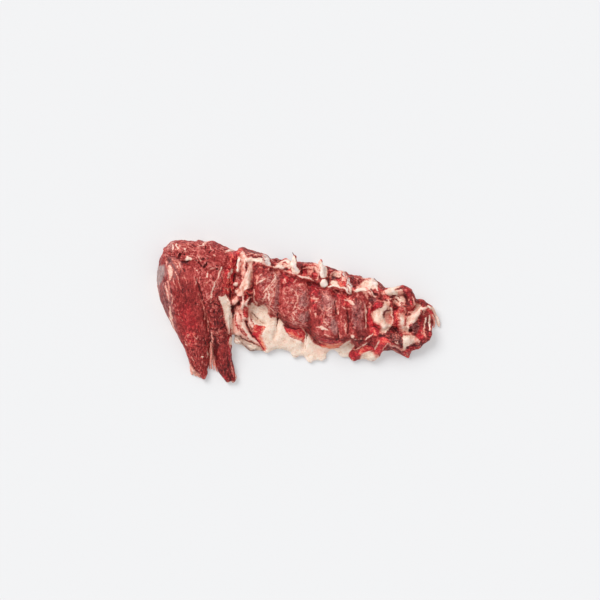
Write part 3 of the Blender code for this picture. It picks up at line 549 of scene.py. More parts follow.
SLAB_MARKS = [
    tone(patch(-94,96, -66,95, -34,83, 2,69, 38,55, 70,50, 98,38, 118,42, 136,34, 141,-8, 138,-42,
        128,-66, 116,-74, 78,-69, 26,-54, -12,-36, -54,-8, -92,14, -90,52), 0.56, 4),
    grit(patch(-94,96, 2,69, 70,50, 136,34, 141,-30, 116,-74, 26,-54, -54,-8, -92,14), 0.55, 4),
    # first bar: cream marbling that fans out towards the first groove
    tone(patch(-88,48, -76,54, -70,40, -72,16, -84,16), 0.5, 4),
    tone(patch(-88,92, -60,92, -44,82, -58,70, -76,66, -88,76), 0.4, 5),
    web(patch(-80,66, -62,72, -42,84, -40,56, -43,20, -46,-11, -60,4, -70,12, -72,36), 0.9, 4),
    film(patch(-50,76, -41,76, -38,56, -41,24, -45,0, -52,4, -50,40), 0.9, 4),
    film(spot(-56,36, 9,28, -8), 0.45, 6),
    streak((-85,53, -81,56), (1.8, 1.4), 0.6, 0.92),
    streak((-78,57, -72,61, -67,65), (1.4, 2.2, 1.2), 0.35, 0.95),
    fat(line((-84,70, -84,60, -87,54), (1.6, 2.6, 2)), 0.95, 0, 2.4, 0.72),
    streak((-79,89, -74,85), (1.2, 1), 0.7, 0.9),
    streak((-79,72, -73,75), (1.3, 1.1), 0.6, 0.9),
    streak((-77,63, -70,68), (0.8, 1), 0.6),
    streak((-62,80, -60,84), (0.9, 1.1), 0.7),
    streak((-70,38, -64,44, -58,53), (1.4, 2, 1), 0.6, 0.88),
    streak((-65,46, -61,36, -60,24, -58,12), (1.2, 2.2, 1.5, 0.9), 0.4, 0.86),
    streak((-56,57, -49,64, -43,72), (1, 1.8, 1), 0.45, 0.9),
    streak((-56,50, -49,57, -45,64), (0.8, 1.2, 0.8)),
    streak((-49,70, -46,80), (1.6, 1.2), 0.7, 0.9),
    streak((-54,44, -52,34, -54,22), (0.9, 1.4, 0.9)),
    streak((-48,52, -47,38), (0.7, 0.9), 0.3, 0.8),
    streak((-72,18, -67,28, -66,36), (1, 1.5, 1), 0.6),
    streak((-64,12, -56,6, -50,-4), (0.8, 1.3, 0.8), 0.6, 0.8),
    streak((-89,44, -90,30, -88,20, -84,14), (0.8, 1.4, 1.5, 2.4), 0.6, 0.88),
    cleft((-40,60, -41,30, -42,4), (0.6, 1, 1.4), 0.35, -0.5),
    streak((-74,20, -64,35, -54,52, -44,68), (0.7, 1, 1.1, 0.8), 0.45, 0.86),
    streak((-64,20, -58,35, -51,47, -41,60), (0.6, 0.8, 0.9, 0.7), 0.5, 0.86),
    streak((-62,-3, -56,18, -54,31), (0.6, 0.9, 0.6)),
    streak((-70,30, -60,45, -50,60), (0.5, 0.8, 0.5), 0.6, 0.8),
    streak((-57,14, -51,28, -46,44), (0.5, 0.7, 0.5), 0.6, 0.8),
    streak((-71,22, -60,20, -50,16), (0.5, 0.7, 0.5), 0.6, 0.8),
    streak((-68,35, -62,33, -56,29), (0.7, 0.9, 0.7)),
    streak((-62,47, -56,44, -51,39), (0.7, 0.9, 0.7)),
    streak((-47,74, -42,80), (1.2, 1.4), 0.75, 0.9),
    # second bar
    fresh(patch(-36,76, -22,74, -8,66, -14,50, -20,40, -34,46), 0.5, 5),
    tone(patch(-36,76, -8,66, -16,46, -34,46), 0.3, 5),
    streak((-24,69, -17,70), (0.8, 1.2), 0.8, 0.9),
    streak((-11,57, -6,62), (0.9, 1.2), 0.7, 0.95),
    streak((-30,64, -27,58), (1.2, 1.4), 1, 0.75),
    streak((-24,50, -22,44), (1, 1.2), 0.9, 0.75),
    streak((-30,36, -26,33), (1.2, 1), 0.8),
    streak((-9,40, -4,30, -2,22, -7,12, -11,4), (0.9, 1.7, 1.5, 1.5, 1), 0.6, 0.9),
    streak((-12,26, -11,15), (1, 1.2), 0.8, 0.8),
    streak((-2,30, 4,34, 8,32), (0.7, 1, 0.7), 0.6, 0.75),
    streak((17,28, 16,20), (0.7, 0.9), 0.4, 0.75),
    streak((-6,8, 2,4, 10,2), (0.9, 1.1, 0.7), 0.5, 0.8),
    streak((-12,-2, -10,-6), (1.4, 1.6)),
    streak((-13,-9, -11,-16), 1.2, 0.6, 0.8),
    streak((-22,2, -19,-5), 0.9, 0.8, 0.75),
    film(spot(8,21, 12,17, 5), 0.85, 5),
    tone(spot(8,16, 8,10), 0.44, 5),
    film(SECOND_FOOT, 0.8, 5),
    tone(SECOND_FOOT, 0.34, 5),
    web(patch(-22,40, -4,50, 14,46, 18,10, 10,-24, -12,-24, -20,-4), 0.85, 6),
    tone(patch(14,-22, 26,-24, 34,-40, 20,-42), 0.38, 5),
    tone(patch(-22,-14, 8,-18, 14,-32, -10,-30), 0.66, 5),
    dark(line((20,8, 21,-10), (2, 3)), 0.35, 4),
    streak((-30,26, -28,23), (0.9, 1.1), 0.8),
    streak((-24,16, -20,22), 1, 0.9, 0.8),
    streak((-32,-4, -28,-10), (0.9, 1), 0.7, 0.8),
    streak((-16,36, -12,44), 1, 0.8),
    streak((-4,50, 3,54, 9,50), (0.8, 1, 0.7), 0.7, 0.8),
    streak((-20,-14, -14,-20), 1, 0.7),
    streak((-8,-22, 0,-24), (0.9, 0.8), 0.7, 0.8),
    # the crimson groove between the second bar and the third
    fresh(patch(22,56, 40,52, 40,30, 32,26, 22,30), 0.55, 4),
    tone(patch(20,58, 40,54, 40,28, 22,28), 0.24, 5),
    fresh(GROOVE_BEAD, 0.9, 2.5),
    tone(GROOVE_BEAD, 0.7, 3),
    streak((24,26, 30,24, 34,20, 31,16), (1, 1.8, 1.6, 1), 1),
    streak((33,23, 38,25), (1.4, 1.2), 0.7, 0.95),
    fresh(patch(26,14, 36,14, 36,2, 27,4), 0.6, 3),
    tone(patch(26,14, 42,12, 46,-20, 32,-26, 26,0), 0.34, 5),
    dark(spot(26,-2, 4,3), 0.4, 3),
    streak((20,4, 23,-1), (0.9, 1.2), 0.6),
    streak((32,-4, 33,-12), (1, 1.6), 0.6, 0.9),
    fresh(spot(46,-18, 5,8), 0.6, 4),
    # third bar
    film(patch(42,40, 58,38, 70,24, 72,4, 60,-2, 44,2, 40,20), 0.8, 5),
    film(patch(64,-18, 76,-18, 78,-46, 68,-48, 60,-36), 1, 4),
    film(spot(58,-14, 8,12), 0.6, 5),
    web(patch(42,36, 60,34, 70,0, 72,-40, 52,-34, 46,-6, 42,12), 0.9, 5),
    streak((46,38, 50,32), (0.9, 1), 0.6),
    streak((54,34, 58,27), (0.9, 1.2), 0.6, 0.9),
    streak((66,11, 62,5, 56,1, 52,4, 52,10), (1.1, 1.3, 1.5, 1, 0.6), 0.55, 0.92),
    streak((41,8, 45,2), (0.9, 1.2), 0.6),
    streak((51,-6, 50,-20), 1.2, 0.8),
    streak((56,-8, 64,-9), 1, 0.7),
    streak((51,-22, 57,-28), (1.3, 1), 0.45, 0.9),
    fat(line((35,-32, 42,-31, 48,-34, 54,-36, 60,-38), (0.8, 1.6, 3, 2, 0.8)), 0.35, 0.2, 2, 0.88),
    streak((52,-46, 60,-50, 68,-52), (0.7, 1.1, 0.6), 0.9, 0.9),
    streak((36,-60, 46,-64), (0.7, 0.9), 0.9, 0.8),
    fresh(patch(62,42, 76,42, 88,30, 90,20, 80,22, 70,30, 62,36), 0.5, 4),
    tone(patch(60,42, 76,42, 90,28, 90,16, 74,24, 62,34), 0.32, 4),
    streak((68,42, 74,39, 80,34), (0.8, 1, 0.7), 0.9),
    streak((84,36, 88,31), 0.8, 0.9, 0.8),
    # fourth bar
    cleft((72,24, 72,8, 74,-6), (0.8, 1.4, 0.8), 0.7, -0.8),
    cleft((78,-30, 79,-40, 79,-54), (0.8, 1.5, 1), 0.9),
    streak((76,6, 77,-4), (1.1, 1.3), 0.45, 0.95),
    streak((74,20, 74,10), (0.8, 0.9), 0.6),
    streak((84,-8, 85,-30), (0.7, 0.9), 0.85, 0.8),
    streak((92,-18, 93,-30, 94,-44), (0.9, 1.4, 0.9), 0.7, 0.88),
    streak((87,8, 92,4, 99,4), (0.8, 1.2, 0.8), 0.7, 0.9),
    streak((80,-44, 82,-52), (1.2, 1), 0.9, 0.8),
    tone(patch(80,0, 92,0, 92,-48, 82,-48), 0.52, 4),
    fresh(patch(84,34, 100,30, 106,16, 98,8, 86,12), 0.6, 4),
    cleft((90,28, 94,24), (0.9, 1.2), 0.7, -0.8),
    cleft((96,0, 98,-20, 98,-44), (1.4, 1.8, 1.2), 0.75, -0.8),
    fat(line((92,22, 98,21, 104,17, 110,12), (0.8, 2, 3.2, 1.4)), 0.65, 1),
    # fifth bar
    film(patch(106,20, 130,20, 133,-4, 132,-36, 112,-38, 104,-10), 0.6, 5),
    film(spot(126,-8, 7,26), 0.7, 4),
    tone(patch(104,20, 122,22, 120,-38, 104,-38), 0.28, 5),
    cleft((120,4, 120,-6), 0.8, 0.8, -0.6),
    cleft((115,-6, 119,-19), (0.9, 0.7), 0.7, -0.6),
    cleft((131,-6, 131,-22), (0.7, 0.8), 0.9, -0.6),
    streak((131,12, 133,-6, 134,-32), (0.9, 1.5, 1), 0.35, 0.93),
    streak((122,20, 124,12), (0.9, 0.7), 0.6),
    streak((108,23, 112,21), 0.8),
    streak((125,39, 133,34, 137,26), (1, 1.5, 1.2), 0.7, 0.93),
    streak((108,-31, 112,-34), 1, 0.7),
    dark(patch(118,-38, 134,-36, 138,-46, 128,-54, 116,-50), 0.6, 4),
    tone(patch(104,-52, 130,-52, 126,-70, 110,-74), 0.3, 4),
    fat(spot(106,-51, 3,4.2), 0.45, 0.6),
    fat(spot(112,-57, 2,1.4), 0.2, 0, 1.6, 0.9),
    fat(spot(124,-56, 1.8,1.2), 0.1, 0, 1.6, 0.9),
    fat(spot(117,-63, 1.6,1.2), 0.3, 0, 1.6, 0.85),
    # the dark rim along the front: painted shade under the bars' overhanging edge
    tone(line((-40,-14, -14,-34, 14,-44, 36,-58, 62,-60, 90,-56), (4, 5, 7, 9, 8, 6)), 0.26, 5),
    dark(line((40,-50, 56,-56, 76,-57, 90,-50), (2, 3, 2.6, 1.2)), 0.45, 4),
    fresh(line((34,-54, 60,-60, 84,-60), (2, 4.5, 2)), 0.75, 3),
    dark(line((20,-50, 28,-60, 38,-67), (0.8, 1.1, 0.7)), 0.6),
]

# ---------------------------------------------------------------- the spine's ledge

THIRD_STUMP = patch(44,97, 49,95, 54,88, 57,78, 56,69, 50,65, 43,68, 41,78, 42,90)
BALL = spot(50,55.3, 8,8.6)
SOCKET_SKIN = patch(65,69, 71,70, 74,66, 73,61, 67,61, 65,65)
BRIGHT_MEAT = patch(82,58, 91,58, 94,52, 90,47, 82,49)
LEDGE_END = patch(156,52, 163,50, 171,42, 165,35, 157,40)

LEDGE_MARKS = [
    tone(patch(-122,140, -100,126, -30,112, 60,96, 160,70, 168,36, 104,40, 46,56, -18,74, -74,96,
        -112,104), 0.4, 4),
    # the crest beside the seam
    tone(patch(-126,142, -104,126, -104,112, -112,112, -124,122), 0.22, 4),
    fresh(spot(-117,121, 4,3), 0.8, 2.5),
    dark(spot(-113,126, 7,2.4, -15), 0.6, 2.5),
    dark(spot(-107,115, 2.6,3), 0.8, 2),
    film(line((-102,118, -88,117.5, -72,114), (1.4, 1.8, 1.4)), 0.9, 2),
    streak((-104,112, -98,114, -93,116), (1, 1.2, 1), 0.7),
    streak((-90,112, -82,112.5, -74,113), (1.2, 1.5, 1), 0.7, 0.9),
    cleft((-88,109, -79,107.5), (1.6, 1.2), 0.7, -0.8),
    # the line of fat where the slab ends
    fat(patch(-106,105, -98,107, -88,105, -80,106.5, -73,105, -70,98, -77,95.5, -90,97, -104,98),
        0.12, 0.8, 3),
    fat(line((-72,96, -62,91, -52,88.5, -44,88), (2.4, 1.6, 1.4, 1.6)), 0.55, 0.4, 3),
    fat(line((-38,85, -30,82, -24,78, -16,76), (1, 0.8, 0.7, 0.9)), 0.8, 0.1, 1.6, 0.85),
    tone(line((-16,76, 4,68, 28,60), (4, 5, 4)), 0.2),
    fat(line((-16,77, -8,73, 0,70, 8,67.5, 14,67, 20,66, 24,62, 29,60),
        (0.9, 1.2, 1.6, 2.4, 1.8, 2.8, 1.4, 0.8)), 0.42, 0.2, 2.2, 0.88),
    streak((-12,76, -5,73, 2,71), (0.5, 0.6, 0.5), 0, 0.9),
    fat(line((58,49, 64,51, 74,51, 82,48.5, 90,45, 97,39, 102,34), (1.2, 1.8, 2.2, 2.2, 2, 2, 1.6)),
        0.24, 0.5, 2),
    # first stump
    bone(patch(-71,116, -66,114, -60,108, -58,100, -56,92, -62,90, -68,94, -72,102, -74,108),
        0.85, 2.5, 0.8),
    streak((-71,112, -70,100), (0.7, 0.9), 0.4, 0.8),
    fresh(patch(-56,104, -48,104, -36,102, -40,97, -50,92, -56,94), 0.35, 4),
    dark(spot(-52,93, 3,2), 0.9, 2),
    streak((-54,99, -55,104), (1, 1.2), 0.9, 0.75),
    # the fat round the first socket, and the second stump
    fat(patch(-54,88, -46,91, -38,98, -31,103, -22,103.5, -14,101, -15,90, -20,85, -27,88, -32,84,
        -40,85), 0.38, 0.6, 3),
    fat(spot(-24,100, 8,3), 0.05, 0.2, 3),
    fresh(line((-32,90, -32,96, -28,97.5, -22,93), (1, 1, 1.4, 0.8)), 0.7, 1.4),
    fresh(line((-32,103, -25,105.5, -15,105), (1.4, 1.8, 1.8)), 0.9, 1.6),
    dark(spot(-26,105.5, 2.4,1.2), 0.7, 1.4),
    dark(spot(-41,90, 1.4,1), 0.5, 1.4),
    fresh(spot(-20,82, 5,3), 1, 1.8, -1),
    dark(patch(-31,83, -26,86.5, -21,85, -23,80, -28,80), 0.95, 1.6, -1.5),
    streak((-20,79, -15,77), (1, 1.2), 0.9),
    fat(patch(-15,108, -10,111, -6,106, -5,98, -5,92, -3,86, 1,80, 0,75, -6,73.5, -12,77, -16,83,
        -17,94), 0.08, 0.8, 2),
    bone(patch(-13,104, -8,104, -6,94, -3,84, -1,78, -9,78, -13,88), 0.7),
    dark(spot(-12,117, 3,4), 0.6, 2),
    dark(line((-100,119, -86,117, -70,114.5), (0.9, 1, 0.9)), 0.6, 1.5),
    dark(line((-57,106, -48,104, -36,102.5), (0.9, 1, 0.8)), 0.6, 1.5),
    dark(spot(-73,101, 1.8,2.4), 0.8),
    dark(line((-13,78, -5,73), (0.6, 0.7)), 0.5, 1.4),
    # second socket
    tone(patch(-4,104, 2,102, 8,98, 24,100, 40,97, 40,90, 28,90, 10,86, 0,84, -4,92), 0.34, 3),
    fresh(patch(-4,102, 3,102, 5,95, 0,91, -4,94), 0.6, 3),
    fresh(line((12,97, 22,99, 31,97), (2.5, 3, 2.5)), 0.4, 3),
    fresh(line((11,92, 20,92, 28,91), 2), 0.8, 2.5),
    dark(spot(7,88, 4,3), 1, 2.2, -1.5),
    dark(line((8.5,100, 8.5,96), (1, 1.2)), 0.8),
    streak((10,94.5, 20,95.5, 28,94.5), (0.6, 0.8, 0.6), 0.9, 0.8),
    streak((30,98, 38,97), (1.4, 1.6), 0.9),
    fat(line((31,95, 37,93, 41,90), (1.8, 2.4, 1.8)), 0.95, 0.2, 2, 0.88),
    fresh(patch(4,81, 10,84, 18,82, 19,77, 14,71, 8,71, 4,74), 1.1, 2, -1.2),
    dark(patch(3,82, 7,83, 9,77, 7,72, 3,73), 0.85, 2, -1),
    fat(line((8,85, 16,87, 22,88, 29,87), (1, 1.6, 2.2, 1.8)), 0.8, 0.4, 2, 0.9),
    fat(patch(18,86, 26,87, 29,82, 26,75, 20,73, 18,78), 0.7, 0.3, 2, 0.92),
    cleft((28.5,86, 29,80), (0.9, 1), 0.9, -0.8),
    dark(spot(24,79, 1.4,1.1), 0.45, 1.4),
    fresh(line((18,82, 22,84, 26,82.5), (0.8, 1.1, 0.8)), 0.8, 1.6),
    fresh(line((20,78, 22,74), (0.8, 1.1)), 0.7, 1.6),
    tone(line((14,86, 22,88, 29,86), (1.2, 1.4, 1.4)), 0.9, 1.6),
    fresh(spot(31,71, 6,5), 1.1, 2, -1.2),
    dark(spot(26.5,71, 2.6,3.6), 0.8, 2, -0.8),
    fat(patch(30,88, 35,88, 38,80, 39,72, 38,64, 34,62, 36,68, 36,76, 32,80), 0.55, 0.5, 2, 0.94),
    slim(spot(-12,116, 6,9), 1.7),
    slim(spot(43,104, 6,9), 1.7),
    # third stump, and the ball beside it
    fat(patch(36,101, 41,106, 47,99, 46,92, 41,84, 40,72, 37,76, 38,86, 33,92), 0.65, 0.4, 2, 0.92),
    tone(patch(42,97, 49,97, 57,88, 59,76, 56,67, 42,66), 0.9, 3),
    fat(THIRD_STUMP, 0, 0, 2.2),
    bone(THIRD_STUMP, 0.52, 2.2, 0.8),
    fresh(line((38,103, 43,104, 47,99), (1, 1.6, 1)), 0.7, 1.6),
    dark(spot(43,104, 2.4,3), 0.7, 1.8),
    dark(spot(45,96, 1.6,1.3), 0.45, 1.5),
    # painted shade between the third stump and the ball
    dark(spot(44,66, 5,2.4), 0.6, 2),
    cleft((40,64.5, 48,64.5), (0.8, 1.1), 0.9, -0.8),
    tone(spot(50,55.3, 9,9), 0.9),
    fat(BALL, 0, 0, 1.6),
    bone(BALL, 0.52, 1.6, 2.5),
    film(spot(46,57, 3,5), 1.4),
    dark(spot(52.6,51, 1.2,0.9), 0.45, 1.3),
    dark(spot(59,51.5, 1.4,1.2), 0.8, 1.5),
    dark(spot(64,48.8, 1.8,1.3), 0.9, 1.5),
    # third socket
    tone(patch(55,88, 66,87, 82,79, 78,74, 66,72, 62,66, 60,54, 56,56, 57,74), 0.28, 3),
    fresh(patch(58,86, 68,84, 80,78, 72,76, 62,76), 0.5, 3),
    dark(spot(57,85, 3,2), 0.7, 2),
    dark(line((61,74, 60,64, 59,54), (1.6, 2, 1.4)), 0.7, 2.2, -1),
    fat(patch(62,67, 66,73, 73,75, 82,75, 91,79, 84,80.5, 74,80, 66,77, 61,72), 0.75, 0.4, 2, 0.86),
    fat(patch(67,71, 72,75, 84,76, 85,68, 79,66, 74,68), 0.35, 0, 2.2),
    tone(patch(62,66, 68,76, 90,79, 84,68, 74,67), 0.7),
    dark(spot(75,72, 1,2), 0.8, 1.3),
    dark(spot(81,71.5, 1.4,1), 0.8, 1.3),
    film(SOCKET_SKIN, 0.8, 2),
    tone(SOCKET_SKIN, 0.3),
    dark(spot(69,65, 3,2), 0.4, 2, -0.6),
    fresh(patch(74,65, 84,64, 84,56, 78,54, 74,58), 0.9, 2.5, -0.8),
    fat(patch(84,67, 91,68, 93,60, 88,56, 83,60), 0.75, 0.3, 2, 0.88),
    fresh(BRIGHT_MEAT, 1.3, 2.2),
    tone(BRIGHT_MEAT, 0.65, 2.2),
    fat(patch(61,57, 66,61, 74,60, 80,54, 78,50, 66,52), 0.18, 0.5, 3),
    # fourth stump
    bone(patch(84,82, 92,79, 98,69, 103,60, 108,52, 107,44, 104,35, 100,35, 95,42, 93,50, 95,58, 92,66,
        87,74), 0.72, 2.4, 0.6),
    fat(line((99,50, 103,42, 104,36), (2.6, 2.8, 1.8)), 0.05, 0.3, 2.5),
    streak((91,76, 96,66), (0.8, 1.2), 0.4, 0.8),
    # the wall after it, and the fat before the neck
    fresh(patch(104,74, 126,69, 136,62, 124,56, 114,52, 108,60), 0.3, 5),
    dark(patch(100,73, 108,70, 110,60, 106,56, 102,63), 0.55, 3),
    streak((128,65, 136,64.5, 144,63), (1.6, 2, 1.2), 0.7, 0.9),
    streak((112,66, 118,63), (0.8, 1), 0.9, 0.8),
    fat(patch(109,41, 116,47, 124,55, 131,61, 139,61, 147,66, 154,66, 159,58, 156,51, 149,44, 141,43,
        136,40, 124,39, 113,37), 0.26, 0.7, 2.8),
    bone(patch(143,62, 152,65, 156,58, 152,49, 144,48), 0.6),
    fat(spot(120,48, 6,3.5, 30), 0.7, 0, 3, 0.8),
    dark(spot(131.5,54.5, 1.3,1), 0.7, 1.3),
    dark(line((127,48, 133,47), (0.8, 1)), 0.5, 1.4),
    fresh(patch(105,51, 111,49, 113,43, 107,41), 0.6),
    dark(spot(110,38, 2.4,1), 0.7),
    streak((133,46, 139,38, 143,31), (1.6, 1.9, 1), 0.95, 0.9),
    streak((142,41, 147,34, 151,27), (1.2, 1.6, 1), 0.55, 0.97),
    cleft((143,43, 149,36), (1, 1.4), 0.8),
    dark(spot(152,33, 4,3.5), 1.2, 2, -2.5),
    tone(LEDGE_END, 0.15, 2.5),
    fresh(LEDGE_END, 0.5, 2.5),
    streak((153,51, 154,45, 156,41), (1.2, 1.7, 1), 0.2, 0.95),
    streak((162,49.5, 168,45), (1, 1.1), 0.7, 0.9),
    dark(line((152,63.5, 160,55, 170,45), (0.5, 0.4, 0.6)), 0.9, 1.2),
    dark(line((168,45, 176,43), (1.6, 1)), 0.7, 1.8),
    fat(line((163,36, 168,32), (2, 1.6)), 0.95, 0, 2, 0.85),
]

# ---------------------------------------------------------------- the neck

STRIP_END = patch(168,31, 178,30, 180,23, 169,22)
FLAP_CREASE = line((222,19, 224,14, 227,12), (2.4, 2.6, 2))
HOLLOW_SIDE = patch(222,-24, 236,-22, 238,-42, 226,-46)
TIP_HOOK = line((255,3, 261,1, 265,-5, 266,-13), (2, 3.2, 3.4, 2.4))
RIM_END = patch(211,-80, 218,-76, 222,-78, 223,-88, 217,-95, 209,-91)
FRONT_LIP = patch(101,-80, 108,-76, 116,-78, 124,-78, 122,-90, 118,-99, 106,-98, 100,-90)
FRONT_FOLD = patch(118,-84, 122,-76, 130,-70, 138,-68, 147,-73, 151,-80, 140,-80, 132,-81, 124,-90)
FOLD_SHADE = patch(136,-66, 138,-56, 146,-50, 160,-48, 163,-53, 155,-66, 151,-75, 142,-73)
FRONT_MUSCLE = patch(151,-77, 154,-70, 159,-60, 164,-53, 176,-54, 181,-62, 176,-68, 170,-76, 165,-84,
    157,-88, 152,-85)

